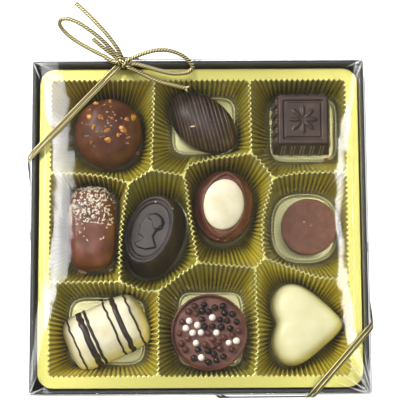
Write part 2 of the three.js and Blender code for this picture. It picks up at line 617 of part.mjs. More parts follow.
// Elastic: each strand is one closed loop, straight on every face of the box as if it were unfolded.
// It crosses the top at the far left corner and at the near right corner, and the bottom twice.
const TOP_LEFT = 27.4;
const TOP_FAR = -29.5;
const TOP_RIGHT = -41.8;
const TOP_NEAR = 45.1;
function strandLoop(shift) {
  const offset = STRAND / 2 + CLEAR;
  const wall = half + offset;
  const low = STRAND / 2;
  const high = LID_EDGE + offset;
  const drop = high - low;
  const far = new THREE.Vector3(TOP_FAR + shift, wall, high);
  const right = new THREE.Vector3(wall, TOP_RIGHT + shift, high);
  const near = new THREE.Vector3(TOP_NEAR - shift, -wall, high);
  const left = new THREE.Vector3(-wall, TOP_LEFT - shift, high);
  // Where the line between two top points passes the two lower edges, once the sides are folded flat
  const lowFar = far.x + ((right.x + drop - far.x) * drop) / (wall + drop - right.y);
  const lowRight = far.y + drop - ((far.y + drop - right.y) * (wall - far.x)) / (wall + drop - far.x);
  const lowNear = near.x - ((near.x + wall + drop) * drop) / (wall + drop + left.y);
  const lowLeft = -wall - drop + ((left.y + wall + drop) * (near.x + wall)) / (near.x + wall + drop);
  const over = (p, q) => {
    const middle = p.clone().lerp(q, 0.5);
    return middle.setZ(high + crown(middle.x, middle.y));
  };
  const sharp = [
    left, over(left, far), far,
    new THREE.Vector3(lowFar, wall, low), new THREE.Vector3(wall, lowRight, low),
    right, over(right, near), near,
    new THREE.Vector3(lowNear, -wall, low), new THREE.Vector3(-wall, lowLeft, low),
  ];
  // Each fold round an edge is taken in two short steps
  const route = sharp.flatMap((corner, k) => [sharp.at(k - 1), sharp[(k + 1) % sharp.length]]
    .map((other) => corner.clone().addScaledVector(other.clone().sub(corner).normalize(), STRAND / 2)));
  const loop = new Route(route, true);
  return geometryOf(solidOf(new THREE.TubeGeometry(loop, loop.spans, STRAND / 2, 8, true)));
}
const strandShift = STRAND_SPACING / 2 / Math.sin(Math.PI / 4);
add('elastic_strand_1', strandLoop(-strandShift), goldCord);
add('elastic_strand_2', strandLoop(strandShift), goldCord);

// Bow: a knot on the elastic, two loops and three ends of one springy cord
const KNOT = new THREE.Vector3(-31.2, 67.8, 34.3);
const knot = new THREE.SphereGeometry(1, 12, 8).scale(2.5, 2.1, 1.7);
add('bow_knot', geometryOf(solidOf(knot)), goldCord, KNOT.toArray(), degrees(-35));

const LEFT_LOOP = [
  [-33.8, 70.6, 35.0], [-36.3, 73.2, 36.4], [-39.4, 76.2, 37.6], [-42.9, 79.1, 38.3], [-46.6, 81.8, 38.6],
  [-50.4, 84.2, 38.5], [-53.8, 85.6, 37.9], [-56.6, 85.8, 36.7], [-57.9, 84.7, 35.0], [-56.9, 82.6, 33.5],
  [-54.3, 80.0, 32.6], [-50.8, 77.4, 32.4], [-47.0, 75.1, 32.5], [-43.2, 72.9, 32.8], [-39.4, 70.9, 33.1],
  [-37.0, 69.3, 33.2], [-34.8, 68.2, 33.3],
];
const LEFT_TAIL = [
  [-31.9, 70.1, 36.1], [-33.4, 72.9, 37.5], [-35.4, 75.7, 38.2], [-37.9, 78.9, 38.6], [-40.6, 82.0, 38.6],
  [-43.4, 85.0, 38.2], [-46.2, 88.0, 37.6], [-48.9, 90.8, 36.8], [-51.2, 93.0, 36.0],
];
const SHORT_END = [
  [-34.2, 70.2, 33.0], [-36.2, 71.7, 33.6], [-38.8, 73.6, 34.2], [-41.4, 75.7, 34.6], [-43.9, 77.9, 34.8],
];
const RIGHT_LOOP = [
  [-27.9, 69.2, 35.0], [-25.2, 70.2, 35.8], [-21.4, 71.4, 36.6], [-17.4, 72.2, 37.0], [-13.4, 72.3, 37.0],
  [-9.6, 71.5, 36.7], [-6.2, 70.0, 36.0], [-3.5, 67.9, 35.0], [-2.3, 65.7, 33.8], [-3.8, 64.1, 33.0],
  [-6.8, 63.4, 32.8], [-10.4, 63.4, 32.7], [-14.2, 64.1, 32.8], [-18.0, 65.1, 33.0], [-21.8, 66.2, 33.2],
  [-25.2, 67.1, 33.2], [-27.6, 67.4, 33.2],
];
const RIGHT_TAIL = [
  [-28.5, 65.3, 34.0], [-26.6, 64.7, 33.6], [-23.9, 63.5, 33.1], [-20.9, 61.9, 32.7], [-17.8, 60.6, 32.6],
  [-14.6, 59.5, 32.5], [-11.4, 58.7, 32.5], [-8.3, 57.9, 32.5], [-5.2, 57.1, 32.5],
];
function cordOf(places) {
  const route = new Route(places.map((place) => new THREE.Vector3(...place)));
  const section = new THREE.Shape(Array.from({ length: 8 }, (_, k) =>
    new THREE.Vector2(CORD / 2, 0).rotateAround(new THREE.Vector2(), (k * Math.PI) / 4)));
  return new THREE.ExtrudeGeometry(section, { steps: route.spans, extrudePath: route });
}
add('bow_loop_left', cordOf(LEFT_LOOP), goldCord);
add('bow_tail_left', cordOf(LEFT_TAIL), goldCord);
add('bow_short_end', cordOf(SHORT_END), goldCord);
add('bow_loop_right', cordOf(RIGHT_LOOP), goldCord);
add('bow_tail_right', cordOf(RIGHT_TAIL), goldCord);

export default box;
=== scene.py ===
import json
from math import copysign, cos, pi, radians, sin, sqrt, tan
from random import Random

import bmesh
import bpy
from mathutils import Matrix, Vector, noise

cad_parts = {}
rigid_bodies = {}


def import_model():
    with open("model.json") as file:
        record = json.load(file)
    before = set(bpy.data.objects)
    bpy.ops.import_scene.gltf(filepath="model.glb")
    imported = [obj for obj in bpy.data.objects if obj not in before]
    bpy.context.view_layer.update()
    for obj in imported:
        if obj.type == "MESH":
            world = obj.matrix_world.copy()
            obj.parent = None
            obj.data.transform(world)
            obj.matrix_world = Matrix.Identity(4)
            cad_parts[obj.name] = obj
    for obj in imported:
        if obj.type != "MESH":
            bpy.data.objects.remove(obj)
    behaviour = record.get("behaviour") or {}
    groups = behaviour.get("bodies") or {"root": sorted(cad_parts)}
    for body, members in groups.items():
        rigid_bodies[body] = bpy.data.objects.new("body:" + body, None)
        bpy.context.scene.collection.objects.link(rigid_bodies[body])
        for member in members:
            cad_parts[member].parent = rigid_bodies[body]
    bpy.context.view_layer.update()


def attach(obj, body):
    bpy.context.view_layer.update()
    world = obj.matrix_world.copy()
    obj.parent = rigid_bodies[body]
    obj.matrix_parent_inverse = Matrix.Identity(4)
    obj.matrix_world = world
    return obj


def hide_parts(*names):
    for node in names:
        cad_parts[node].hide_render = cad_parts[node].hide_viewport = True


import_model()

MM = 0.001

# The camera stands almost straight above the box, a little towards the near edge, far enough away
# that the box's sides only just show. Its place and turn give the photograph's framing.
camera_data = bpy.data.cameras.new("camera")
camera_data.sensor_width = 36
camera_data.lens = 125.04
camera_data.clip_start = 0.01
camera = bpy.data.objects.new("camera", camera_data)
camera.location = Vector((-0.9, -72.2, 600)) * MM
camera.rotation_euler = (radians(8.23), radians(-0.10), radians(-0.31))
bpy.context.scene.collection.objects.link(camera)
bpy.context.scene.camera = camera

# Bow. One elastic cord, three plies wrapped in pale gold metallic thread and laid up with a short twist, so its
# relaxed loops and ends look like rows of beads. The plies are modelled, and the glint on their crests and the shade
# in their grooves are painted. It leaves the knot on the far edge.
CORD = 1.75
PLIES = 3
PLY_TURN = 3.5
PLY_GROOVE = 0.15
RING_STEP = 0.13
RING_SIDES = 14

LEFT_LOOP = [
    (-33.8, 70.6, 35.0), (-36.3, 73.2, 36.4), (-39.4, 76.2, 37.6), (-42.9, 79.1, 38.2), (-46.6, 81.8, 38.4),
    (-50.4, 84.2, 38.3), (-53.8, 85.6, 37.9), (-56.6, 85.8, 36.7), (-57.9, 84.7, 35.0), (-56.9, 82.6, 33.5),
    (-54.3, 80.0, 32.6), (-50.8, 77.4, 32.4), (-47.0, 75.1, 32.5), (-43.2, 72.9, 32.8), (-39.4, 70.9, 33.1),
    (-37.0, 69.3, 33.2), (-34.8, 68.2, 33.3),
]
LEFT_TAIL = [
    (-31.9, 70.1, 36.1), (-33.4, 72.9, 37.5), (-35.4, 75.7, 38.1), (-37.9, 78.9, 38.4), (-40.6, 82.0, 38.4),
    (-43.4, 85.0, 38.2), (-46.2, 88.0, 37.6), (-48.9, 90.8, 36.8), (-51.1, 92.9, 36.0),
]
SHORT_END = [
    (-34.2, 70.2, 33.0), (-36.2, 71.7, 33.6), (-38.8, 73.6, 34.2), (-41.4, 75.7, 34.6), (-43.9, 77.9, 34.8),
]
RIGHT_LOOP = [
    (-27.9, 69.2, 35.0), (-25.2, 70.2, 35.8), (-21.4, 71.4, 36.6), (-17.4, 72.2, 37.0), (-13.4, 72.3, 37.0),
    (-9.6, 71.5, 36.7), (-6.2, 70.0, 36.0), (-3.5, 67.9, 35.0), (-2.3, 65.7, 33.8), (-3.8, 64.1, 33.0),
    (-6.8, 63.4, 32.8), (-10.4, 63.4, 32.7), (-14.2, 64.1, 32.8), (-18.0, 65.1, 33.0), (-21.8, 66.2, 33.2),
    (-25.2, 67.1, 33.2), (-27.6, 67.4, 33.2),
]
RIGHT_TAIL = [
    (-28.5, 65.3, 34.0), (-26.6, 64.7, 33.6), (-23.9, 63.5, 33.1), (-20.9, 61.9, 32.7), (-17.8, 60.6, 32.6),
    (-14.6, 59.5, 32.5), (-11.4, 58.7, 32.5), (-8.3, 57.9, 32.5), (-5.2, 57.1, 32.5),
]


def linear(colour):
    """An sRGB colour such as e8dc8c as the linear colour that shaders use."""
    shares = [int(colour[k : k + 2], 16) / 255 for k in (0, 2, 4)]
    return tuple(s / 12.92 if s <= 0.04045 else ((s + 0.055) / 1.055) ** 2.4 for s in shares) + (1.0,)


def add_node(tree, kind, inputs=None, **settings):
    """Adds a node with its settings; each input is a value or the output that feeds it."""
    node = tree.nodes.new("ShaderNode" + kind)
    for name, value in settings.items():
        setattr(node, name, value)
    for name, value in (inputs or {}).items():
        if isinstance(value, bpy.types.NodeSocket):
            tree.links.new(value, node.inputs[name])
        else:
            node.inputs[name].default_value = value
    return node


def new_surface(name, **constants):
    """A material with one Principled shader; constants are its sockets, with _ for a space."""
    material = bpy.data.materials.new(name)
    material.use_nodes = True
    tree = material.node_tree
    shader = tree.nodes["Principled BSDF"]
    for socket, value in constants.items():
        shader.inputs[socket.replace("_", " ")].default_value = value
    return material, tree, shader


def colour_between(tree, share, stops):
    """A colour ramp over (place, sRGB colour) stops."""
    ramp = add_node(tree, "ValToRGB", {"Fac": share})
    elements = ramp.color_ramp.elements
    while len(elements) < len(stops):
        elements.new(0.5)
    for element, (place, colour) in zip(elements, stops):
        element.position = place
        element.color = linear(colour)
    return ramp.outputs["Color"]


# Metallic thread: a polyester strip with a gold-lacquered metal face, wound round the rubber core.
# Its colour has a painted glint on the crests of the plies, painted shade in the grooves between them and painted
# shade on the sides turned away from the view.
metallic_thread, tree, shader = new_surface("gold_metallic_thread", Metallic=0.6, Roughness=0.4)
crest = add_node(tree, "Attribute", attribute_name="crest").outputs["Fac"]
# Painted glint on the crests and painted shade in the grooves, set by crest share.
painted_glint_and_groove_shade = colour_between(tree, crest, [(0.3, "0c0802"), (0.58, "4c3c12"), (0.8, "ccb868"), (0.97, "fff4c4")])
# Painted shade on the sides turned away from the view.
turned_away = add_node(tree, "LayerWeight", {"Blend": 0.4}).outputs["Facing"]
painted_side_shade = add_node(tree, "MapRange", {"Value": turned_away, "From Min": 0.2, "From Max": 0.8}).outputs[0]
shaded = add_node(tree, "Mix", {"Factor": painted_side_shade, 6: painted_glint_and_groove_shade, 7: linear("3a2e0c")}, data_type="RGBA")
tree.links.new(shaded.outputs[2], shader.inputs["Base Color"])


def curved(points, fine):
    """A smooth curve through the given points, with this many steps from each to the next."""
    ends = [points[0] * 2 - points[1], *points, points[-1] * 2 - points[-2]]
    line = []
    for a, b, c, d in zip(ends, ends[1:], ends[2:], ends[3:]):
        for t in (k / fine for k in range(fine)):
            bent = (a * 2 - b * 5 + c * 4 - d) * t**2 + (b * 3 - a - c * 3 + d) * t**3
            line.append((b * 2 + (c - a) * t + bent) / 2)
    return [*line, points[-1]]


def length_of(line):
    """The length of a line of points."""
    return sum((q - p).length for p, q in zip(line, line[1:]))


def along(points, step):
    """Points at equal steps on a smooth curve through the given ones."""
    fine = curved(points, 24)
    lengths = [0.0]
    for p, q in zip(fine, fine[1:]):
        lengths.append(lengths[-1] + (q - p).length)
    count = max(2, round(lengths[-1] / step))
    evened, k = [], 0
    for n in range(count + 1):
        target = lengths[-1] * n / count
        while k < len(fine) - 2 and lengths[k + 1] < target:
            k += 1
        span = lengths[k + 1] - lengths[k]
        evened.append(fine[k].lerp(fine[k + 1], min(1.0, (target - lengths[k]) / span)))
    return evened


def pick(piece):
    """Selects one piece alone and makes it the active one."""
    bpy.ops.object.select_all(action="DESELECT")
    piece.select_set(True)
    bpy.context.view_layer.objects.active = piece


def joined(pieces, name):
    """Several pieces of one kind and material made one."""
    pick(pieces[0])
    for piece in pieces:
        piece.select_set(True)
    if len(pieces) > 1:
        bpy.ops.object.join()
    pieces[0].name = name
    return pieces[0]


def made(name, mesh, smooth=True):
    """A finished mesh as a new piece."""
    data = bpy.data.meshes.new(name)
    mesh.to_mesh(data)
    mesh.free()
    if smooth:
        data.shade_smooth()
    piece = bpy.data.objects.new(name, data)
    bpy.context.scene.collection.objects.link(piece)
    return piece


def skin(mesh, rings, closed=False):
    """Faces from each ring of vertices to the next, and from the last to the first if closed."""
    for ring, following in zip(rings, rings[1:] + (rings[:1] if closed else [])):
        for k in range(len(ring)):
            after = (k + 1) % len(ring)
            mesh.faces.new((ring[k], ring[after], following[after], following[k]))


def wrapped(name, rings, closed=False, smooth=True):
    """A piece whose skin runs over rings of (place, how far it stands on a crest, from 0 to 1)."""
    mesh = bmesh.new()
    crest_of = mesh.verts.layers.float.new("crest")
    rows = []
    for ring in rings:
        rows.append([mesh.verts.new(place) for place, share in ring])
        for vertex, (place, share) in zip(rows[-1], ring):
            vertex[crest_of] = share
    skin(mesh, rows, closed)
    if not closed:
        mesh.faces.new(rows[0][::-1])
        mesh.faces.new(rows[-1])
    bmesh.ops.recalc_face_normals(mesh, faces=mesh.faces)
    return made(name, mesh, smooth)


def ring_round(centre, sideways, upward, section, distance=0.0):
    """A ring for wrapped round a centre; section(distance, angle) gives each point's offset
    sideways and upward and how far it stands on a crest."""
    ring = []
    for side in range(RING_SIDES):
        across, above, share = section(distance, 2 * pi * side / RING_SIDES)
        ring.append((centre + sideways * across + upward * above, share))
    return ring


def tube(name, centres, section, closed=False, up=Vector((0, 0, 1))):
    """A tube through centres, all in metres."""
    count = len(centres)
    rings, distance, sideways = [], 0.0, None
    for k, centre in enumerate(centres):
        before = centres[k - 1] if k or closed else centre
        after = centres[(k + 1) % count] if k < count - 1 or closed else centre
        direction = (after - before).normalized()
        sideways = direction.cross(up) if sideways is None else sideways - direction * sideways.dot(direction)
        sideways.normalize()
        rings.append(ring_round(centre, sideways, sideways.cross(direction), section, distance))
        distance += (centres[(k + 1) % count] - centre).length
    return wrapped(name, rings, closed)


def fine_thread(name, line, radius, step):
    """A plain round thread through a line in metres; its radius and step are in mm."""
    return tube(name, along(line, step * MM), lambda s, a: (radius * MM * cos(a), radius * MM * sin(a), 1.0))


def laid_plies(distance, angle):
    """The cord's outline, which turns along its length: a lobe for each ply."""
    # The share marks each ply's crest and groove, where the thread material paints its glint and its shade.
    share = abs(cos(PLIES / 2 * (angle - 2 * pi * distance / (PLY_TURN * MM))))
    reach = CORD * 0.55 * MM * (1 - PLY_GROOVE * (1 - share))
    return reach * cos(angle), reach * sin(angle), share


def settle(piece, material, stands_for=(), at=(0, 0, 0), turn=(0, 0, 0)):
    """Gives a finished piece its place, material and body, and hides the parts it stands for."""
    pick(piece)
    piece.location = Vector(at) * MM
    piece.rotation_euler = turn
    bpy.ops.object.transform_apply()
    piece.data.materials.clear()
    piece.data.materials.append(material)
    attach(piece, "root")
    if stands_for:
        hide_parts(*stands_for)


cords = {}
for name, route in [
    ("bow_loop_left", LEFT_LOOP),
    ("bow_tail_left", LEFT_TAIL),
    ("bow_short_end", SHORT_END),
    ("bow_loop_right", RIGHT_LOOP),
    ("bow_tail_right", RIGHT_TAIL),
]:
    centres = along([Vector(point) * MM for point in route], RING_STEP * MM)
    cord = tube(name + "_cord", centres, laid_plies)
    settle(cord, metallic_thread, [name])
    cords[name] = (cord, centres)

# Knot. The cord is wound twice round its own ends and drawn tight, so the knot is two short turns
# side by side with one laid over them.
KNOT = Vector((-31.2, 67.8, 34.3))
KNOT_AXIS = Vector((cos(radians(-35)), sin(radians(-35)), 0))
TURN_ACROSS = KNOT_AXIS.cross(Vector((0, 0, 1))) * 1.4375
TURN_UP = Vector((0, 0, 1.0625))
SQUEEZED = 0.75


def squeezed_plies(distance, angle):
    """The cord's outline where the knot is drawn tight."""
    across, above, share = laid_plies(distance, angle)
    return across * SQUEEZED, above * SQUEEZED, share


turns = []
for shift, lean in [(-1.25, 0.2), (1.15, -0.3), (0, 1.3)]:
    ring = []
    for angle in (2 * pi * k / 60 for k in range(60)):
        off = TURN_ACROSS * cos(angle) + TURN_UP * sin(angle)
        ring.append((KNOT + KNOT_AXIS * (shift + lean * cos(angle)) + off) * MM)
    turns.append(tube("knot_turn", ring, squeezed_plies, closed=True, up=KNOT_AXIS))
# The loops and ends run on into the knot's middle.
for route in [LEFT_LOOP, LEFT_LOOP[::-1], LEFT_TAIL, SHORT_END, RIGHT_LOOP, RIGHT_LOOP[::-1], RIGHT_TAIL]:
    end = Vector(route[0])
    entering = [KNOT.lerp(end, share) * MM for share in (0.15, 0.5, 1.02)]
    turns.append(tube("cord_entering", along(entering, RING_STEP * MM), laid_plies))
knot = joined(turns, "bow_knot_turns")
settle(knot, metallic_thread, ["bow_knot"])

# Frayed threads. The right end was cut without a seal, so its wrapping opens into a small brush.
FRAY_THREADS = 16
fray_draw = Random(4)
frays = []
tip = Vector(RIGHT_TAIL[-1])
outward = (tip - Vector(RIGHT_TAIL[-2])).normalized()
sideways = outward.cross(Vector((0, 0, 1))).normalized()
for k in range(FRAY_THREADS):
    angle = 2 * pi * k / FRAY_THREADS
    spread = sideways * cos(angle) + Vector((0, 0, 0.6)) * sin(angle)
    reach = fray_draw.uniform(1.3, 2.3)
    start = tip - outward * 0.8 + spread * 0.5
    line = [start, start + outward * reach * 0.5 + spread * 0.2, start + outward * reach + spread * 0.75]
    # Each fray's crest share is 1 all round, so the thread material paints its full glint over it.
    frays.append(fine_thread("fray", [p * MM for p in line], 0.13, 0.3))
frayed = joined(frays, "frayed_threads")
settle(frayed, metallic_thread)

# The loops and the left end: each one's cord and centres are looked up, and nothing more is done with them.
for name, far_end in [("bow_loop_left", "object"), ("bow_loop_right", "object"), ("bow_tail_left", "bare")]:
    cord, centres = cords[name]

# Elastic. One cord doubled, two strands side by side, stretched over two opposite corners of the lid and round under
# the base, so its ply is pulled almost straight. The pair shows as four fine lines: two modelled plies to a strand,
# each with a painted glint along it.
STRAND_SPACING = 1.5
LOBE_APART = 0.34
LOBE_RADIUS = 0.36
BOX_WALL = 70.7
STRAND_LOW = 0.6
STRAND_HIGH = 31.8
STRAND_DROP = STRAND_HIGH - STRAND_LOW
LID_CROWN = 0.7


def crowned(x, y):
    """How far the lid's thin top bows up at a place, in mm."""
    return LID_CROWN * (1 - (x / 70) ** 2) * (1 - (y / 70) ** 2)


def elastic_route(shift):
    """Corners of one strand's way round the box, which stays taut over each edge."""
    wall, low, high, drop = BOX_WALL, STRAND_LOW, STRAND_HIGH, STRAND_DROP
    far = Vector((-29.5 + shift, wall, high))
    right = Vector((wall, -41.8 + shift, high))
    near = Vector((45.1 - shift, -wall, high))
    left = Vector((-wall, 27.4 - shift, high))
    low_far = far.x + (right.x + drop - far.x) * drop / (wall + drop - right.y)
    low_right = far.y + drop - (far.y + drop - right.y) * (wall - far.x) / (wall + drop - far.x)
    low_near = near.x - (near.x + wall + drop) * drop / (wall + drop + left.y)
    low_left = -wall - drop + (left.y + wall + drop) * (near.x + wall) / (near.x + wall + drop)
    over_far, over_near = (left + far) / 2, (right + near) / 2
    over_far.z += crowned(over_far.x, over_far.y)
    over_near.z += crowned(over_near.x, over_near.y)
    return [
        left, over_far, far, Vector((low_far, wall, low)), Vector((wall, low_right, low)),
        right, over_near, near, Vector((low_near, -wall, low)), Vector((-wall, low_left, low)),
    ]


def pulled_round(corners, bend, step):
    """Points at steps round a closed way, each corner rounded off over a bend."""
    points = []
    for k, corner in enumerate(corners):
        before, after = corners[k - 1], corners[(k + 1) % len(corners)]
        into = corner + (before - corner).normalized() * bend
        out = corner + (after - corner).normalized() * bend
        points += [into.lerp(corner, t).lerp(corner.lerp(out, t), t) for t in (0, 0.25, 0.5, 0.75, 1)]
        onward = after + (corner - after).normalized() * bend
        straight = max(2, round((onward - out).length / step))
        points += [out.lerp(onward, n / straight) for n in range(1, straight)]
    return points


def two_lobes(distance, angle):
    """Half an elastic's width: two stretched plies side by side."""
    across = (LOBE_APART + LOBE_RADIUS * 0.9) * cos(angle)
    above = LOBE_RADIUS * sin(angle) * (0.62 + 0.38 * min(1, abs(cos(angle)) * 2))
    # The third value is a crest share: the thread material paints a glint along the top of each ply.
    return across * MM, above * MM, max(0, min(1, 1.1 - abs(abs(cos(angle)) - 0.62) / 0.42))


def outward_of(centre):
    """Away from the box at a place near its surface."""
    x, y, z = centre / MM
    past = [max(0, abs(x) - 68), max(0, abs(y) - 68), max(0, abs(z - 16.2) - 13.5)]
    return Vector([reach if place > 0 else -reach for reach, place in zip(past, (x, y, z - 16))])


def ribbon(name, centres):
    """A flat closed strand that keeps its face towards the box."""
    rings = []
    for k, centre in enumerate(centres):
        direction = (centres[(k + 1) % len(centres)] - centres[k - 1]).normalized()
        sideways = direction.cross(outward_of(centre)).normalized()
        rings.append(ring_round(centre, sideways, sideways.cross(direction), two_lobes))
    return wrapped(name, rings, closed=True)


for node, side in [("elastic_strand_1", -1), ("elastic_strand_2", 1)]:
    corners = elastic_route(side * STRAND_SPACING / 2 / sin(pi / 4))
    strand = ribbon(node.replace("elastic", "pulled"), [p * MM for p in pulled_round(corners, 0.8, 0.8)])
    settle(strand, metallic_thread, [node])

# Base. A tray of dark laminated card, its walls folded over and glued down inside so that the rim is
# a double fold, with a thin glossy film on the outside.
BASE_SIDE = 138.8
BASE_WALL = 1.6
BASE_CARD = 0.8
BASE_BOTTOM = 1.3
BASE_RIM = 30.45


def modifier(piece, kind, **settings):
    """Adds one modifier with its settings and applies it."""
    pick(piece)
    made = piece.modifiers.new(kind.lower(), kind)
    for name, value in settings.items():
        setattr(made, name, value)
    bpy.ops.object.modifier_apply(modifier=made.name)


def select_faces(piece, wanted):
    """Selects, in edit mode, the faces whose centre in mm and normal pass the test."""
    bpy.ops.mesh.select_all(action="DESELECT")
    mesh = bmesh.from_edit_mesh(piece.data)
    for face in mesh.faces:
        if wanted(face.calc_center_median() / MM, face.normal):
            face.select_set(True)
    mesh.select_flush_mode()
    bmesh.update_edit_mesh(piece.data)


def primitive(add, name, **settings):
    """A primitive added with nothing else selected."""
    bpy.ops.object.select_all(action="DESELECT")
    add(**settings)
    bpy.context.object.name = name
    return bpy.context.object


def block(name, size, middle):
    """A cube primitive at a size and place in mm, left selected and in object mode."""
    piece = primitive(bpy.ops.mesh.primitive_cube_add, name, size=1, location=Vector(middle) * MM)
    piece.scale = Vector(size) * MM
    bpy.ops.object.transform_apply()
    return piece


laminated_card, tree, shader = new_surface(
    "laminated_dark_card", Base_Color=linear("12100c"), Roughness=0.35, Coat_Weight=0.25, Coat_Roughness=0.15
)
base = block("card_base", (BASE_SIDE, BASE_SIDE, BASE_RIM - BASE_BOTTOM), (0, 0, (BASE_RIM + BASE_BOTTOM) / 2))
bpy.ops.object.mode_set(mode="EDIT")
select_faces(base, lambda centre, normal: normal.z > 0.9)
bpy.ops.mesh.inset(thickness=BASE_WALL * MM)
hollow = (0, 0, (BASE_BOTTOM + BASE_CARD - BASE_RIM) * MM)
bpy.ops.mesh.extrude_region_move(TRANSFORM_OT_translate={"value": hollow})
bpy.ops.object.mode_set(mode="OBJECT")
modifier(base, "BEVEL", width=0.35 * MM, segments=3, limit_method="ANGLE")
base.data.shade_smooth()
settle(base, laminated_card, ["box_base"])

# Tray. Metallised gold plastic sheet, vacuum-formed with a fluted cup drawn round each sweet. The
# sheet is softly drawn over the mould, so brims and flutes are rounded and catch the light as they
# turn. Its fine regular folds are worked out point by point, as no primitive has them.
TRAY_SIDE = 134.2
TRAY_SHIFT = (0.25, 0)
TRAY_CORNER = 6.5
FLANGE_TOP = 25.3
FLANGE_SHEET = 0.6
FLANGE_REACH = 2.4
CUP_FLOOR = 2.8
FLUTE_PITCH = 2.2
FLUTE_DEPTH = 0.6
POINTS_PER_FLUTE = 6
FIELD = 62.3
JUNCTIONS = {
    "tl": (-FIELD, FIELD), "t1": (-18.6, FIELD), "t2": (21.8, FIELD), "tr": (FIELD, FIELD),
    "r1": (FIELD, 22.7), "r2": (FIELD, -22.3), "br": (FIELD, -FIELD), "b2": (22.7, -FIELD),
    "b1": (-17.1, -FIELD), "bl": (-FIELD, -FIELD), "l2": (-FIELD, -23.3), "l1": (-FIELD, 22.7),
    "a": (-29.1, 18.3), "b": (-19.9, 23.9), "c": (-6.1, 21.5), "d": (22.1, 30.8), "e": (31.4, 20.1),
    "f": (-32.8, -23.2), "g": (-17, -26.9), "h": (-0.4, -15.3), "i": (23.4, -17.5), "j": (27.4, -13.6),
}
BENDS = {
    "a l1": [(-39.2, 20.9), (-49.7, 22.2)],
    "c d": [(-3.6, 25.8), (6.9, 28.7), (15.4, 29.7)],
    "d e": [(26.7, 26.5)],
    "e r1": [(42.5, 22.3)],
    "a f": [(-30.4, 11.1), (-32.4, -3.6)],
    "f g": [(-26.6, -25.4), (-21.2, -27)],
    "g h": [(-12.9, -24.2), (-8.7, -20.9)],
    "c h": [(-4.9, 15.2), (-3.7, 4.6), (-1.6, -8)],
    "e j": [(29.4, 12.9), (27.2, 4.5), (26.7, -6)],
    "j r2": [(37.8, -17.4), (50.1, -21.6)],
    "b2 i": [(24.1, -47.5), (23.5, -31)],
}
# Each cup: its junctions, anticlockwise, and its floor: middle, half sizes, turn in degrees,
# squareness (or heart), and whether it is drawn close round its sweet.
CUPS = [
    ("tl l1 a b t1", (-38.7, 42), (15, 15.4), 0, 2, True),
    ("t1 b c d t2", (2.3, 46.8), (14.6, 13.5), 0, 5, False),
    ("t2 d e r1 tr", (45.8, 44.8), (15.5, 15), 0, 5, False),
    ("l1 l2 f a", (-45.5, 0.6), (11.2, 18.6), 0, 3.4, True),
    ("a f g h c b", (-17.6, -3.4), (12.4, 18.9), -28, 2, True),
    ("c h i j e d", (10.8, 9.6), (13.5, 16.6), -7, 2, True),
    ("e j r2 r1", (45.8, 1.5), (15.3, 16), 0, 2.6, False),
    ("l2 bl b1 g f", (-39.5, -42.4), (17.2, 15.2), 0, 5, False),
    ("g b1 b2 i h", (4.8, -41.8), (14.6, 16.7), 0, 6, False),
    ("i b2 br r2 j", (45.3, -40.5), (1.05, 1.05), 0, "heart", True),
]
HEART_LINE = [
    (17.3, 0), (11.2, 6.2), (4, 12.8), (-1.2, 16.5), (-6, 17.8), (-10.8, 16.5), (-14.2, 12.4), (-15.1, 7.4),
    (-13.9, 3.5), (-12.4, 0.4), (-13.9, -2.7), (-15.2, -6.8), (-14.4, -11.8), (-11.2, -15.9), (-7, -17.7),
    (-2, -16.6), (3.8, -12.4), (11.1, -6.1),
]


def ridge_line(start, finish):
    """Points of the ridge between two junctions, each with its direction, its inner side and its
    fold: both cups beside a ridge get the same points and folds, in opposite order."""
    first, last = sorted((start, finish))
    places = [JUNCTIONS[first], *BENDS.get(first + " " + last, []), JUNCTIONS[last]]
    places = [Vector((*place, 0)) for place in places]
    length = length_of(along(places, 0.5))
    line = along(places, length / (round(length / FLUTE_PITCH) * POINTS_PER_FLUTE))
    last = len(line) - 1
    folds = []
    for k in range(len(line)):
        fade = min(1, k / POINTS_PER_FLUTE * 1.2, (last - k) / POINTS_PER_FLUTE * 1.2)
        folds.append((1 - 1.85 * abs(sin(pi * k / POINTS_PER_FLUTE))) * fade)
    side = 1
    if first != start:
        line.reverse()
        folds.reverse()
        side = -1
    points = []
    for k, place in enumerate(line):
        onward = (line[min(k + 1, last)] - line[max(k - 1, 0)]).normalized()
        inner = Vector((-onward.y, onward.x, 0))
        points.append((place, onward, inner, inner * folds[k] * side))
    return points


def evened_out(points, passes):
    """A closed outline with its corners rounded: each point follows its neighbours."""
    for _ in range(passes):
        points = [
            (points[k - 1] + point * 2 + points[(k + 1) % len(points)]) / 4 for k, point in enumerate(points)
        ]
    return points


def heart_outline():
    """The heart's outline round its middle, in mm."""
    points = []
    for k, place in enumerate(HEART_LINE):
        start, finish = Vector((*place, 0)), Vector((*HEART_LINE[(k + 1) % len(HEART_LINE)], 0))
        points += [start.lerp(finish, n / 4) for n in range(4)]
    return evened_out(points, 4)


def reach_of(off, half, power):
    """How many times further out than the floor's edge a place lies, seen from the floor's middle."""
    if power != "heart":
        return (abs(off.x / half[0]) ** power + abs(off.y / half[1]) ** power) ** (1 / power)
    points = heart_outline()
    for k, start in enumerate(points):
        edge = points[(k + 1) % len(points)] - start
        slant = off.x * edge.y - off.y * edge.x
        if slant:
            out = (start.x * edge.y - start.y * edge.x) / slant
            share = (start.x * off.y - start.y * off.x) / slant
            if out > 0 and 0 <= share <= 1:
                return 1 / (out * half[0])
    return 1.0


def cup_outline(ridges, inset):
    """The closed outline of a cup, moved inwards and rounded at its corners."""
    slack = []
    for k, ridge in enumerate(ridges):
        arriving, leaving = ridges[k - 1][-1][1].to_2d(), ridge[0][1].to_2d()
        slack.append(inset / max(0.2, abs(tan((pi + arriving.angle_signed(leaving)) / 2))))
    points = []
    for k, ridge in enumerate(ridges):
        last = len(ridge) - 1
        for n, (place, onward, inner, fold) in enumerate(ridge[:-1]):
            share = n / last
            shift = slack[k] * (1 - share) - slack[(k + 1) % len(ridges)] * share
            points.append(place + inner * inset + onward * shift)
    return evened_out(points, 20)


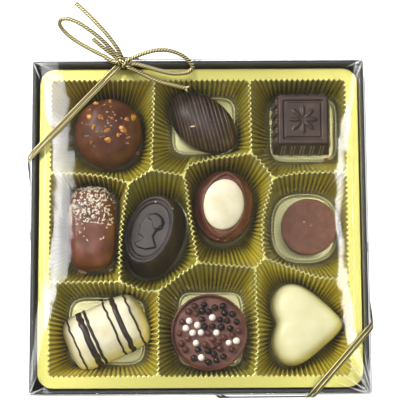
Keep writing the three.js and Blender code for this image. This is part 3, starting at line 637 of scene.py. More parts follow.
# Wall and floor of a cup: (inset, drop) steps of its rolled brim, then (inward, height, fold) steps
# of the groove round its floor, where the sweet sits close and where the floor lies open.
WALL_STEPS = 9
BRIM = [(0.12, 0), (0.27, 0.07), (0.37, 0.25), (0.41, 0.6)]
CLOSE_GROOVE = [(0.1, 0.35, 0.3), (0.5, 0.1, 0.12), (1.2, 0.0, 0.0)]
OPEN_GROOVE = [
    (0.1, 0.35, 0.3), (0.5, 0.02, 0.12), (1.0, -0.25, 0.0), (1.5, -0.2, 0.0), (1.9, 0.05, 0.0), (2.6, 0.1, 0.0),
]
WALL_TOP = FLANGE_TOP - BRIM[-1][1]
WALL_FOOT = CUP_FLOOR + 0.9

mesh = bmesh.new()
fold_of = mesh.verts.layers.float.new("fold")
brims = []
for corners, (x, y), half, turn_degrees, power, close in CUPS:
    names = corners.split()
    ridges = [ridge_line(name, names[(k + 1) % len(names)]) for k, name in enumerate(names)]
    folds = [fold for ridge in ridges for (_, _, _, fold) in ridge[:-1]]
    crests = [0.46 + fold.dot(inner) * 0.54 for ridge in ridges for (_, _, inner, fold) in ridge[:-1]]
    rings = []
    for inset, drop in BRIM:
        top = cup_outline(ridges, inset)
        rings.append([p + f * FLUTE_DEPTH + Vector((0, 0, FLANGE_TOP - drop)) for p, f in zip(top, folds)])
    turned, at = Matrix.Rotation(radians(turn_degrees), 3, "Z"), Vector((x, y, 0))
    floor_line = []
    for point in evened_out(top, 60):
        off = turned.inverted() @ (point - at)
        floor_line.append(turned @ (off / reach_of(off, half, power)) + at)
    floor_line = evened_out(floor_line, 30 if power in (2, 2.6) else 10)
    for share in (step / WALL_STEPS for step in range(1, WALL_STEPS + 1)):
        depth = FLUTE_DEPTH * (1 + 0.6 * sin(share * pi)) * (1 - 0.35 * share)
        down = Vector((0, 0, WALL_TOP - (WALL_TOP - WALL_FOOT) * share))
        rings.append([t.lerp(b, share * 0.97) + f * depth + down for t, b, f in zip(top, floor_line, folds)])
    middle = sum(floor_line, Vector()) / len(floor_line)
    for inward, height, depth in CLOSE_GROOVE if close else OPEN_GROOVE:
        down = Vector((0, 0, CUP_FLOOR + height))
        rings.append([
            p - (p - middle).normalized() * inward + fold * depth + down for p, fold in zip(floor_line, folds)])
    rows = [[mesh.verts.new(p * MM) for p in ring] for ring in rings]
    # Each vertex keeps its crest share for the sheet's painted highlight and painted shade; the brim's top ring
    # counts as all crest, so it takes the full painted highlight.
    for row in rows:
        for vertex, share in zip(row, crests):
            vertex[fold_of] = 1.0 if row is rows[0] else share
    skin(mesh, rows)
    centre = mesh.verts.new(sum((v.co for v in rows[-1]), Vector()) / len(rows[-1]))
    for k, vertex in enumerate(rows[-1]):
        mesh.faces.new((rows[-1][k - 1], vertex, centre))
    brims.append(rows[0])


def rounded_square(side, corner, height):
    """A square's outline in mm with round corners, nine points to a corner."""
    points = []
    for quarter in range(4):
        for k in range(9):
            angle = pi / 2 * (quarter + k / 8)
            reach = side / 2 - corner
            x = reach * (1 if quarter in (0, 3) else -1) + corner * cos(angle)
            y = reach * (1 if quarter < 2 else -1) + corner * sin(angle)
            points.append(Vector((x + TRAY_SHIFT[0], y + TRAY_SHIFT[1], height)))
    return points


edges_down = [
    [mesh.verts.new(p * MM) for p in rounded_square(TRAY_SIDE - less, TRAY_CORNER - tighter, height)]
    for less, tighter, height in [
        (0.5, 0, FLANGE_TOP), (0.1, 0, FLANGE_TOP - 0.12), (0, 0, FLANGE_TOP - FLANGE_SHEET),
        (2 * FLANGE_REACH, 1, FLANGE_TOP - FLANGE_SHEET), (2 * FLANGE_REACH, 1, CUP_FLOOR - FLANGE_SHEET)]
]
skin(mesh, edges_down)
mesh.faces.new(edges_down[-1])
openings = []
for loop in [edges_down[0], *brims]:
    openings += [mesh.edges.get((loop[k - 1], loop[k])) for k in [*range(1, len(loop)), 0]]
plane = bmesh.ops.triangle_fill(mesh, use_beauty=True, use_dissolve=False, edges=openings, normal=(0, 0, 1))
bmesh.ops.recalc_face_normals(mesh, faces=mesh.faces)
for face in mesh.faces:
    face.smooth = True
for face in plane["geom"]:
    if isinstance(face, bmesh.types.BMFace):
        face.smooth = False
cups = made("fluted_tray", mesh, smooth=False)

# The sheet's colour carries painted light: painted shade in the flute grooves and down the lower walls, painted
# highlights on the flute crests and along the rolled brim. The floor is paler.
metallised, tree, shader = new_surface("metallised_plastic_sheet", Metallic=0.65, Roughness=0.26)
place = add_node(tree, "TexCoord").outputs["Object"]
level = add_node(tree, "SeparateXYZ", {"Vector": place}).outputs["Z"]
tray_height_share = add_node(tree, "MapRange", {
    "Value": level, "From Min": 2.0 * MM, "From Max": FLANGE_TOP * MM}).outputs[0]
fold = add_node(tree, "Attribute", attribute_name="fold").outputs["Fac"]
# Colours by height: a paler floor, painted shade on the lower walls and a painted highlight on the brim.
groove_colours_with_painted_light = colour_between(tree, tray_height_share, [
    (0.0, "b4b290"), (0.07, "a8a468"), (0.16, "887010"), (0.7, "ccba24"), (0.9, "c8bc30"), (0.965, "f4ea84"),
    (0.99, "fff9c4"), (1.0, "c2bc64")])
crest_colours_with_painted_light = colour_between(tree, tray_height_share, [
    (0.0, "b4b290"), (0.07, "ccc890"), (0.16, "dcca3c"), (0.7, "fff448"), (0.9, "fff890"), (0.965, "fff6b4"),
    (0.99, "fff9c4"), (1.0, "c2bc64")])
painted_fold_light_share = add_node(tree, "MapRange", {"Value": fold, "From Min": 0.2, "From Max": 0.8}).outputs[0]
sheet = add_node(tree, "Mix", {"Factor": painted_fold_light_share, 6: groove_colours_with_painted_light, 7: crest_colours_with_painted_light}, data_type="RGBA")
tree.links.new(sheet.outputs[2], shader.inputs["Base Color"])
settle(cups, metallised, ["tray"])

# Nut truffle. A milk chocolate ball truffle, hand-dipped, so it is not quite round, with chopped
# caramelised nuts and a few pale crumbs pressed on its crown before the chocolate set.
SWEET_BASE = 2.95
TRUFFLE_AT = (-38.7, 42, SWEET_BASE)
TRUFFLE_NUTS = [
    (-4.8, 11.4, 2), (1.1, 12.6, 1.7), (10.9, 5.6, 3.2), (-7.5, 5.5, 2.2), (-2.7, 5, 2.4), (2.3, 4.2, 1.6),
    (6.5, -0.2, 2.8), (0.3, -1, 2.6), (0.7, -5, 2.6), (-5.4, 0.7, 2), (-8.1, 1.5, 1.3), (8.2, 4.2, 1.5),
    (-6.4, -5.6, 1.2), (4.8, -2.7, 1.4),
]


def chocolate(name, deep, body, bloom, roughness=0.4, grain=1.6, relief=0.12, cloudy=7):
    """Tempered chocolate: cocoa butter gives it a satin shine, with slightly paler cloudy patches."""
    material, tree, shader = new_surface(
        name, Roughness=roughness, IOR=1.46, Specular_IOR_Level=0.35, Subsurface_Weight=0.04,
        Subsurface_Scale=1.2 * MM,
    )
    place = add_node(tree, "TexCoord").outputs["Object"]
    cloud = add_node(tree, "TexNoise", {"Vector": place, "Scale": 1 / (cloudy * MM), "Detail": 3.0})
    colours = colour_between(tree, cloud.outputs["Fac"], [(0.3, deep), (0.5, body), (0.72, bloom)])
    tree.links.new(colours, shader.inputs["Base Color"])
    fine = add_node(tree, "TexNoise", {
        "Vector": place, "Scale": 1 / (grain * MM), "Detail": 4.0, "Roughness": 0.6})
    bump = add_node(tree, "Bump", {
        "Height": fine.outputs["Fac"], "Strength": 0.5, "Distance": relief * MM})
    tree.links.new(bump.outputs["Normal"], shader.inputs["Normal"])
    return material


def oval(half_x, half_y, power=2, count=40):
    """An oval's outline, squarer for a higher power."""
    turns = [(cos(2 * pi * k / count), sin(2 * pi * k / count)) for k in range(count)]
    return [
        (copysign(half_x * abs(x) ** (2 / power), x), copysign(half_y * abs(y) ** (2 / power), y)) for x, y in turns]


def poured(name, outline, profile, fine=4):
    """A moulded sweet: a disc with this outline, drawn up through (share of it, height) steps, with
    as many finer steps between each two."""
    profile = curved([Vector(step) for step in profile], fine)
    piece = primitive(bpy.ops.mesh.primitive_circle_add, name, vertices=len(outline), fill_type="NGON")
    share, height = profile[0]
    for vertex, (x, y) in zip(piece.data.vertices, outline):
        vertex.co = (x * share * MM, y * share * MM, height * MM)
    bpy.ops.object.mode_set(mode="EDIT")
    bpy.ops.mesh.select_all(action="SELECT")
    for next_share, next_height in profile[1:]:
        bpy.ops.mesh.extrude_region_move(TRANSFORM_OT_translate={"value": (0, 0, (next_height - height) * MM)})
        if next_share != share:
            scale = next_share / share
            bpy.ops.transform.resize(value=(scale, scale, 1), center_override=(0, 0, next_height * MM))
        share, height = next_share, next_height
    bpy.ops.mesh.poke()
    bpy.ops.mesh.select_all(action="SELECT")
    bpy.ops.mesh.normals_make_consistent(inside=False)
    bpy.ops.object.mode_set(mode="OBJECT")
    modifier(piece, "SUBSURF", levels=1, render_levels=1)
    piece.data.shade_smooth()
    return piece


def uneven(piece, size, amount, seed=0):
    """Hand-made unevenness: lumps about this size in mm, standing up to this amount in or out."""
    for vertex in piece.data.vertices:
        spot = vertex.co / (size * MM) + Vector((seed * 7.3, seed * 3.1, seed))
        vertex.co += vertex.normal * noise.noise(spot) * amount * MM


def top_at(piece, x, y):
    """The highest point of a piece under a place in mm, and its normal."""
    hit, place, normal, _ = piece.ray_cast(Vector((x * MM, y * MM, 0.2)), Vector((0, 0, -1)))
    return (place if hit else Vector((x, y, 0)) * MM), (normal if hit else Vector((0, 0, 1)))


def strewn(model, places, name):
    """Copies of one small model, each at (point, rotation, sizes), as one piece. The model goes."""
    copies = []
    for point, rotation, sizes in places:
        copy = model.copy()
        copy.data = model.data.copy()
        bpy.context.scene.collection.objects.link(copy)
        turn = rotation.to_matrix().to_4x4()
        copy.data.transform(Matrix.Translation(point) @ turn @ Matrix.Diagonal((*sizes, 1)))
        copies.append(copy)
    bpy.data.objects.remove(model)
    return joined(copies, name)


def chopped_bit(seed):
    """A broken crumb about 1 mm across: a ball of a few faces with its corners pushed about."""
    bit = primitive(bpy.ops.mesh.primitive_ico_sphere_add, "bit", subdivisions=1, radius=0.5 * MM)
    draw = Random(seed)
    for vertex in bit.data.vertices:
        vertex.co *= draw.uniform(0.7, 1.25)
    return bit


def lying(normal, spin):
    """A rotation that lays a thing on a slope with this normal, turned by spin."""
    return normal.to_track_quat("Z", "Y") @ Matrix.Rotation(spin, 3, "Z").to_quaternion()


milk = chocolate("milk_couverture", "42200f", "58301c", "6e422b")
caramelised_nut, tree, shader = new_surface(
    "caramelised_hazelnut", Roughness=0.32, Subsurface_Weight=0.25, Subsurface_Scale=0.8 * MM
)
place = add_node(tree, "TexCoord").outputs["Object"]
spot = add_node(tree, "TexNoise", {"Vector": place, "Scale": 1 / (1.8 * MM)}).outputs["Fac"]
toasted = colour_between(tree, spot, [(0.35, "a8641c"), (0.52, "cc8c32"), (0.68, "e8b868")])
tree.links.new(toasted, shader.inputs["Base Color"])
pale_crumb, tree, shader = new_surface(
    "pale_nut_crumb", Base_Color=linear("e8c8a8"), Roughness=0.6, Subsurface_Weight=0.2, Subsurface_Scale=0.5 * MM
)

truffle = poured("truffle_ball", oval(14.6, 15.1, count=36), [
    (0.8, 0), (0.93, 2.5), (0.995, 6.5), (1, 9.5), (0.93, 13.5), (0.75, 17), (0.48, 19.4), (0.2, 20.5)])
uneven(truffle, 7, 0.55, seed=2)
nut_draw = Random(11)
chips = []
for k, (x, y, length) in enumerate(TRUFFLE_NUTS):
    place, normal = top_at(truffle, x, y)
    model = chopped_bit(40 + k)
    size = (length * 1.5, length * nut_draw.uniform(0.85, 1.25), nut_draw.uniform(1.4, 2.1))
    place += normal * 0.25 * MM
    chips.append(strewn(model, [(place, lying(normal, nut_draw.uniform(0, pi)), size)], "chip"))
nuts = joined(chips, "chopped_nuts")
crumb_places = []
for k in range(46):
    reach, angle = 11.5 * sqrt(nut_draw.random()), nut_draw.uniform(0, 2 * pi)
    place, normal = top_at(truffle, reach * cos(angle) + 0.5, reach * sin(angle) + 2)
    size = nut_draw.uniform(0.35, 0.9)
    crumb_places.append((place, lying(normal, nut_draw.uniform(0, pi)), (size, size * 0.8, size * 0.7)))
crumbs = strewn(chopped_bit(3), crumb_places, "nut_crumbs")
settle(truffle, milk, ["nut_truffle"], TRUFFLE_AT)
settle(nuts, caramelised_nut, (), TRUFFLE_AT)
settle(crumbs, pale_crumb, (), TRUFFLE_AT)

# Threaded praline. A long dark moulded praline, piped over with fine threads of the same chocolate
# while it passed under a swinging nozzle, so the threads run side by side across it.
THREADED_AT = (2, 46.6, SWEET_BASE)
THREADED_TURN = radians(-38)
THREAD_LEAN = radians(15)
THREAD_PITCH = 1.55
THREAD_WIDTH = 0.6

dark = chocolate("dark_couverture", "241813", "2f211b", "40302a", roughness=0.36)
# Its profile is a dome, squarer than a ball's, tucked in towards its foot.
profile = []
for angle in (k / 8.6 * pi / 2 for k in range(9)):
    share, height = cos(angle) ** 0.8, 16.3 * sin(angle) ** 0.8
    profile.append((share * (1 - 0.24 * max(0, 1 - height / 8.5)), height))
threaded = poured("threaded_body", oval(18.4, 12.2), profile)
threaded.data.transform(Matrix.Rotation(THREADED_TURN, 4, "Z"))
threads = []
thread_draw = Random(8)
for k in range(-12, 13):
    line = []
    wander = thread_draw.uniform(-0.4, 0.4)
    for n in range(-15, 16):
        down = n * 1.1
        along_x = (k * THREAD_PITCH + wander) * cos(THREAD_LEAN) - down * sin(THREAD_LEAN)
        along_y = (k * THREAD_PITCH + wander) * sin(THREAD_LEAN) + down * cos(THREAD_LEAN)
        place, normal = top_at(threaded, along_x, along_y)
        if place.z > 3.5 * MM:
            line.append(place)
    if len(line) > 4:
        threads.append(fine_thread("thread", line, THREAD_WIDTH / 2 * thread_draw.uniform(0.6, 1.5), 0.5))
piped = joined(threads, "piped_threads")
settle(threaded, dark, ["threaded_praline"], THREADED_AT)
# The threads are the same chocolate as the body, drawn paler: painted highlights along them.
piping_painted_highlight = chocolate("dark_piped_couverture_painted_highlight", "4a3a33", "5c4a42", "6e5c52", roughness=0.3)
settle(piped, piping_painted_highlight, (), THREADED_AT)


def softened_copy(node, name, grid, passes):
    """A moulded sweet with fine relief: its solid merged, rebuilt on a fine grid and smoothed, as
    chocolate rounds off every edge of its mould."""
    piece = bpy.data.objects[node].copy()
    piece.data = piece.data.copy()
    piece.name = name
    bpy.context.scene.collection.objects.link(piece)
    pick(piece)
    bpy.ops.object.mode_set(mode="EDIT")
    bpy.ops.mesh.select_all(action="SELECT")
    bpy.ops.mesh.remove_doubles(threshold=0.002 * MM)
    bpy.ops.object.mode_set(mode="OBJECT")
    modifier(piece, "REMESH", mode="VOXEL", voxel_size=grid * MM)
    modifier(piece, "SMOOTH", factor=0.5, iterations=passes)
    piece.data.shade_smooth()
    return piece


# Square praline. Dark chocolate from a square mould with a star rosette in a double frame on top and
# upright ribs round its sides.
SQUARE_AT = (44.6, 46, SWEET_BASE)
square = softened_copy("square_praline", "square_moulded", 0.2, 2)
square_dark = chocolate("dark_square_couverture", "33221c", "402e26", "4e3a30", roughness=0.36)
settle(square, square_dark, ["square_praline"])
# Two thin pale threads lie along the edges of each rib: painted highlights where the ribs' edges catch the light.
rib_glint_lines = []
for quarter in range(4):
    turned = Matrix.Rotation(pi / 2 * quarter, 3, "Z")
    for k in range(-2, 3):
        for side in (-0.6, 0.6):
            line = [turned @ Vector((k * 4.1 + side, -12.9 + z * 0.119, z)) for z in (1.5, 6, 10, 15.2)]
            rib_glint_lines.append(fine_thread("rib", [p * MM for p in line], 0.27, 0.5))
rib_highlight_chocolate = chocolate("dark_chocolate_painted_highlight", "8a7a72", "a09088", "b4a49c", roughness=0.3)
settle(joined(rib_glint_lines, "square_rib_painted_highlights"), rib_highlight_chocolate, (), SQUARE_AT)

# Coconut log. A milk chocolate bar end dipped and strewn with dried coconut shreds at its far end.
COCONUT_AT = (-45.5, 0.6, SWEET_BASE)
log = poured("coconut_log_body", oval(10.3, 17.9, 3.2), [
    (0.82, 0), (0.93, 2.2), (1, 8), (0.97, 12), (0.86, 15.4), (0.64, 17.3), (0.35, 17.95), (0.1, 18.1)])
uneven(log, 6, 0.5, seed=5)
coconut, tree, shader = new_surface(
    "dried_coconut", Base_Color=linear("efe2cc"), Roughness=0.5, Subsurface_Weight=0.3, Subsurface_Scale=0.6 * MM
)
shred = primitive(bpy.ops.mesh.primitive_cube_add, "shred", size=1 * MM)
bpy.ops.object.mode_set(mode="EDIT")
bpy.ops.mesh.bevel(offset=0.2 * MM, segments=1)
bpy.ops.object.mode_set(mode="OBJECT")
shred_draw = Random(21)
shred_places = []
for k in range(420):
    x, y = shred_draw.uniform(-9.6, 9.6), 17.4 - 16.5 * shred_draw.random() ** 1.7
    if k > 405:
        y = shred_draw.uniform(-6, 4)
    place, normal = top_at(log, x, y)
    length = shred_draw.uniform(0.35, 1.5)
    lift = normal * shred_draw.uniform(0.0, 0.5) * MM
    turn = lying(normal, shred_draw.uniform(0, pi)) @ Matrix.Rotation(
        shred_draw.uniform(-0.25, 0.25), 3, "Y").to_quaternion()
    shred_places.append((place + lift, turn, (length, shred_draw.uniform(0.25, 0.5), 0.25)))
shreds = strewn(shred, shred_places, "coconut_shreds")
log_milk = chocolate("milk_log_couverture", "522a1b", "6c3d2a", "845442", roughness=0.34)
settle(log, log_milk, ["coconut_log"], COCONUT_AT)
settle(shreds, coconut, (), COCONUT_AT)

# Cameo praline. Dark chocolate from an oval mould, a plain head in profile on the sunk ground inside
# a double rim. It leans on the cups' ridges with its top end up.
cameo = softened_copy("cameo_praline", "cameo_moulded", 0.2, 4)
settle(cameo, chocolate("dark_cameo_couverture", "241914", "302420", "43362f", roughness=0.42),
       ["cameo_praline"])

# Inlaid praline. A milk chocolate oval whose top is drawn up to a pinched leaf-shaped ridge round a
# smooth white chocolate inlay.
INLAID_AT = (10.6, 9.8, SWEET_BASE)
INLAID_TURN = (0, 0, radians(-7))
inlaid = softened_copy("inlaid_praline", "inlaid_body", 0.22, 6)
inlaid_milk = chocolate("milk_inlaid_couverture", "522b1d", "6a3c2c", "7e5040", roughness=0.34)
leaf = []
for side in (-1, 1):
    line = []
    for k in range(25):
        down = 1 - k / 12
        x, y = side * 11.3 * (1 - down * down) ** 0.62 * (1 - 0.12 * down), 14.2 * down - 0.6
        spot = Matrix.Rotation(INLAID_TURN[2], 3, "Z") @ Vector((x, y, 0)) + Vector(INLAID_AT)
        place, normal = top_at(inlaid, spot.x, spot.y)
        if place.z > 0:
            line.append(place)
    leaf.append(fine_thread("leaf_line", line, 0.24, 0.4))
settle(inlaid, inlaid_milk, ["inlaid_praline"])
settle(joined(leaf, "leaf_lines"), inlaid_milk)
white = chocolate("white_couverture", "d8d0a8", "e2dabc", "ece6cc", roughness=0.4)
inlay = poured("white_inlay_dome", oval(8.6, 10.8), [(1, 15.7), (1, 17.2), (0.9, 18), (0.66, 18.7), (0.3, 19.1)])
settle(inlay, white, ["white_inlay"], INLAID_AT, INLAID_TURN)

# Round praline. A plain disc of milk chocolate, cut from a sheet that was spread with a palette knife,
# so its top is matt and grainy and its side smooth.
ROUND_AT = (46.7, 0.6, SWEET_BASE)
disc = poured("round_disc", oval(11.9, 11.9, count=48), [
    (0.89, 0), (0.925, 0.8), (1, 12.4), (0.995, 13.1), (0.95, 13.5), (0.6, 13.35), (0.3, 13.3)], fine=2)
uneven(disc, 5, 0.25, seed=3)
settle(disc, chocolate("milk_sheet_chocolate", "64402f", "6c4533", "764e3b", roughness=0.5, grain=1.1, relief=0.9,
                       cloudy=2.4),
       ["round_praline"], ROUND_AT)

# White log. White chocolate, hand-dipped, with bands of dark chocolate piped across it that run down
# its sides. It has no corner anywhere, as the dipped coat rounds all of them off.
WHITE_LOG_AT = (-39.2, -43.2, SWEET_BASE)
WHITE_LOG_TURN = (0, 0, radians(24.5))
LOG_HALF = 17.9
LOG_HALF_WIDTH = 12.9
LOG_HEIGHT = 17.5
LOG_SECTIONS = 34
ARCH_SIDES = 22
BANDS = [(-13.4, 0.8), (-7.7, 2.7), (-5.2, 1.3), (3.6, 0.9), (7.4, 2.3), (12.8, 0.9)]


def log_width(x):
    """The white log's half width at a place along it."""
    return LOG_HALF_WIDTH * max(0.0, 1 - abs(x / LOG_HALF) ** 8) ** 0.34


def log_height(x):
    """The white log's height at a place along it."""
    return LOG_HEIGHT * max(0.0, 1 - abs(x / LOG_HALF) ** 6) ** 0.42


def log_section(x):
    """An arch across the log at x, from one side to the other."""
    points = []
    for angle in (pi * k / ARCH_SIDES for k in range(ARCH_SIDES + 1)):
        z = log_height(x) * sin(angle) ** (2 / 2.7)
        side = copysign(abs(cos(angle)) ** (2 / 2.7), cos(angle))
        points.append(Vector((x, side * log_width(x) * (1 - 0.24 * max(0, 1 - z / 8.5)), z)))
    return points


mesh = bmesh.new()
rows = []
for n in range(LOG_SECTIONS + 1):
    x = LOG_HALF * sin((n / LOG_SECTIONS - 0.5) * pi) * 0.9995
    rows.append([mesh.verts.new(p * MM) for p in log_section(x)])
for row, following in zip(rows, rows[1:]):
    for k in range(ARCH_SIDES):
        mesh.faces.new((row[k], following[k], following[k + 1], row[k + 1]))
    mesh.faces.new((row[0], row[-1], following[-1], following[0]))
mesh.faces.new(rows[0])
mesh.faces.new(rows[-1][::-1])
bmesh.ops.recalc_face_normals(mesh, faces=mesh.faces)
white_log = made("white_log_body", mesh)
modifier(white_log, "SUBSURF", levels=1, render_levels=1)
white_log.data.shade_smooth()
uneven(white_log, 6, 0.35, seed=6)
bands = []
band_draw = Random(5)
for middle, width in BANDS:
    ends = band_draw.randint(1, 3), band_draw.randint(1, 3)
    section = log_section(middle)[ends[0]: ARCH_SIDES + 1 - ends[1]]
    line = [Vector((p.x + band_draw.uniform(-0.25, 0.25), p.y, p.z)) for p in section]
    bands.append(tube("band", along([p * MM for p in line], 0.6 * MM),
                      lambda s, a, w=width: (w / 2 * MM * cos(a), 0.42 * MM * sin(a), 1.0), up=Vector((0, 1, 0))))
settle(white_log, white, ["striped_log"], WHITE_LOG_AT, WHITE_LOG_TURN)
settle(joined(bands, "dark_bands"), dark, (), WHITE_LOG_AT, WHITE_LOG_TURN)

# Sprinkle cup. A round milk chocolate shell filled level, strewn with crisp cereal pearls coated in
# white, milk and dark chocolate.
CUP_AT = (4.1, -44, SWEET_BASE)
PEARL = 1.42
FILLING = 16.6
WHITE_PEARLS = [
    (-8.3, 4.8), (-4.9, 3.0), (-9.7, 1.75), (-6.9, -0.2), (-3.4, -0.1), (-5.5, -4.4), (1.4, 6.1), (3.05, -0.2),
    (8.1, -4.4), (11.3, -3.6), (-3.3, -10.4),
]
cup = poured("cup_shell", oval(16, 16, count=48), [
    (0.775, 0), (0.825, 0.8), (0.96, 12), (1, 16.5), (0.995, 17.2), (0.97, 17.5), (0.945, 17.4), (0.925, 16.9),
    (0.9, FILLING), (0.5, FILLING), (0.25, FILLING)], fine=2)
uneven(cup, 4, 0.15, seed=1)
pearl_draw = Random(12)
others = []
while len(others) < 60:
    reach, angle = 12.6 * sqrt(pearl_draw.random()), pearl_draw.uniform(0, 2 * pi)
    x, y = reach * cos(angle), reach * sin(angle)
    apart = (1.93 if len(others) > 24 else 1.96) * PEARL
    if all((x - a) ** 2 + (y - b) ** 2 > apart**2 for a, b in WHITE_PEARLS + others):
        others.append((x, y))
    elif pearl_draw.random() < 0.0002:
        break


def pearls(places, name):
    """Pearls of slightly different sizes, each half sunk in the filling."""
    model = primitive(
        bpy.ops.mesh.primitive_uv_sphere_add, "pearl", segments=16, ring_count=10, radius=PEARL * MM)
    model.data.shade_smooth()
    upright = lying(Vector((0, 0, 1)), 0)
    spots = [(Vector((x, y, FILLING + PEARL * 0.55)) * MM, pearl_draw.uniform(0.9, 1.06)) for x, y in places]
    return strewn(model, [(spot, upright, [size] * 3) for spot, size in spots], name)


dark_places = [(x, y) for x, y in others if y > 1 and x > -3 or (y < -7 and abs(x) < 7)]
milk_places = [p for p in others if p not in dark_places]
pearl_white = chocolate("white_pearl_coating", "f2e4d4", "fbf0e4", "fff8ee", roughness=0.3)
pearl_dark = chocolate("dark_pearl_coating", "1a1110", "241816", "30221f", roughness=0.25)
pearl_milk = chocolate("milk_pearl_coating", "45261c", "5a3427", "6e4436", roughness=0.28)
settle(cup, milk, ["sprinkle_cup"], CUP_AT)
filling = poured("praline_filling", oval(14.3, 14.3, count=48), [
    (1, FILLING - 0.6), (1, FILLING + 0.05), (0.97, FILLING + 0.15), (0.5, FILLING + 0.2)], fine=1)
uneven(filling, 3, 0.12, seed=4)
soft_milk = chocolate("milk_filling", "5c3528", "6e4538", "805648", roughness=0.45)
settle(filling, soft_milk, (), CUP_AT)
settle(pearls(WHITE_PEARLS, "white_pearls"), pearl_white, (), CUP_AT)
settle(pearls(dark_places, "dark_pearls"), pearl_dark, (), CUP_AT)
settle(pearls(milk_places, "milk_pearls"), pearl_milk, (), CUP_AT)

# Heart. A white chocolate heart from a smooth heart-shaped mould, point to the right.
HEART_AT = (45.3, -40.5, SWEET_BASE)
heart = poured("heart_moulded", [(p.x, p.y) for p in heart_outline()], [
    (0.93, 0), (0.985, 2.5), (1, 6), (0.975, 9.5), (0.92, 12.4), (0.83, 14.3), (0.68, 15.4), (0.4, 15.9),
    (0.15, 16)])
modifier(heart, "SMOOTH", factor=0.5, iterations=3)
uneven(heart, 9, 0.14, seed=9)
settle(heart, chocolate("white_heart_couverture", "dad6a2", "ded9aa", "e4e0b6", roughness=0.36),
       ["heart"], HEART_AT)

# Loose bits. Small crumbs of nut, coconut and chocolate have come off on the way and lie where they
# fell, on the sweets, in the cups and one on the tray's brim.
LOOSE = {
    "nut": (caramelised_nut, "milk_chocolate", [
        (-26.5, 34.4, 6.0, (2.0, 1.6, 1.3)), (-45.8, 29.9, 3.6, (1.6, 1.0, 0.8)),
        (55.7, 31.6, 3.5, (2.6, 1.6, 1.2)),
    ]),
    "pale": (pale_crumb, "white_chocolate", [
        (-2.2, 43.6, None, (2.6, 0.7, 0.6)), (-41.1, -4.7, None, (1.3, 0.9, 0.8)),
        (-39.1, 6.8, None, (0.8, 0.7, 0.6)), (44.6, 2.6, None, (0.9, 0.5, 0.4)),
        (47.5, 1.1, None, (0.5, 0.4, 0.4)), (-50.2, -16.9, 3.4, (4.6, 1.6, 0.8)),
        (-37.6, -16.2, 3.4, (2.6, 1.5, 0.7)), (-18.2, 11.2, None, (0.9, 0.7, 0.5)),
        (-10.9, 8.0, None, (0.7, 0.5, 0.5)), (8.0, -4.6, None, (0.8, 0.5, 0.4)),
        (11.2, -5.0, None, (1.0, 0.5, 0.4)),
    ]),
    "dark": (dark, "dark_chocolate", [
        (-42.1, -29.1, 3.6, (2.6, 1.1, 1.0)), (65.0, 25.8, 25.45, (0.9, 0.6, 0.4)),
        (35.2, -2.2, None, (0.8, 0.6, 0.4)), (55.6, 8.2, None, (0.8, 0.6, 0.4)),
    ]),
}
bit_draw = Random(31)


def height_of_top(x, y):
    """The height in mm of what lies highest under the lid at a place in mm."""
    bpy.context.view_layer.update()
    tops = []
    for piece in bpy.context.scene.objects:
        if piece.type == "MESH" and not piece.name.startswith("lid") and not piece.hide_render:
            hit, place, _, _ = piece.ray_cast(Vector((x, y, 29)) * MM, Vector((0, 0, -1)))
            if hit:
                tops.append(place.z / MM)
    return max(tops)


# Each bit: its place, its height where it isn't on top of a sweet, and its size.
for kind, (surface, slot, places) in LOOSE.items():
    chips = []
    for x, y, height, size in places:
        spin = Matrix.Rotation(bit_draw.uniform(-0.5, 0.5), 3, "Z").to_quaternion()
        place = Vector((x, y, height or height_of_top(x, y) + 0.1)) * MM
        chips.append(strewn(chopped_bit(60 + len(chips)), [(place, spin, size)], "chip"))
    settle(joined(chips, "loose_" + kind + "_bits"), surface)

# Lid. A box lid folded from clear PVC film half a millimetre thick and welded at its corners; its
# top bows up a little, and white stress lines show where the film is folded.
LID_SIDE = 140
LID_FILM = 0.5
LID_EDGE = 31.1
LID_FOOT = 1.8
# The film is all but invisible from straight above. Its gloss grows towards low angles and is bent
# into ripples by the film's slight sag, and the shine itself is that of a mirror.
clear_film, tree, shader = new_surface(
    "clear_pvc_film", Base_Color=linear("ffffff"), Roughness=0.025, Metallic=1.0
)
place = add_node(tree, "TexCoord").outputs["Object"]
sag = add_node(tree, "TexNoise", {"Vector": place, "Scale": 1 / (17 * MM), "Detail": 2.0, "Roughness": 0.5})
ripple = add_node(tree, "Bump", {"Height": sag.outputs["Fac"], "Strength": 1.0, "Distance": 0.06 * MM})
tree.links.new(ripple.outputs["Normal"], shader.inputs["Normal"])
see_through = add_node(tree, "BsdfTransparent")
grazing = add_node(tree, "LayerWeight", {"Blend": 0.5}).outputs["Facing"]
steeper = add_node(tree, "Math", {0: grazing, 1: 6.0}, operation="POWER").outputs[0]
glint = add_node(tree, "MapRange", {"Value": steeper, "To Min": 0.01, "To Max": 0.7}).outputs[0]
mixed = add_node(tree, "MixShader", {
    "Fac": glint, 1: see_through.outputs["BSDF"], 2: shader.outputs["BSDF"]})
tree.links.new(mixed.outputs["Shader"], tree.nodes["Material Output"].inputs["Surface"])

lid = block("film_lid", (LID_SIDE, LID_SIDE, LID_EDGE - LID_FOOT), (0, 0, (LID_EDGE + LID_FOOT) / 2))
bpy.ops.object.mode_set(mode="EDIT")
select_faces(lid, lambda centre, normal: normal.z < -0.9)
bpy.ops.mesh.delete(type="FACE")
select_faces(lid, lambda centre, normal: normal.z > 0.9)
bpy.ops.mesh.inset(thickness=1.2 * MM)
bpy.ops.mesh.subdivide(number_cuts=24)
bpy.ops.object.mode_set(mode="OBJECT")
for vertex in lid.data.vertices:
    if vertex.co.z > (LID_EDGE - LID_FILM) * MM:
        vertex.co.z += crowned(vertex.co.x / MM, vertex.co.y / MM) * MM
modifier(lid, "SOLIDIFY", thickness=LID_FILM * MM, offset=-1)
modifier(lid, "BEVEL", width=0.4 * MM, segments=2, limit_method="ANGLE", angle_limit=radians(40))
bpy.ops.object.shade_smooth_by_angle(angle=radians(35))
settle(lid, clear_film, ["lid"])
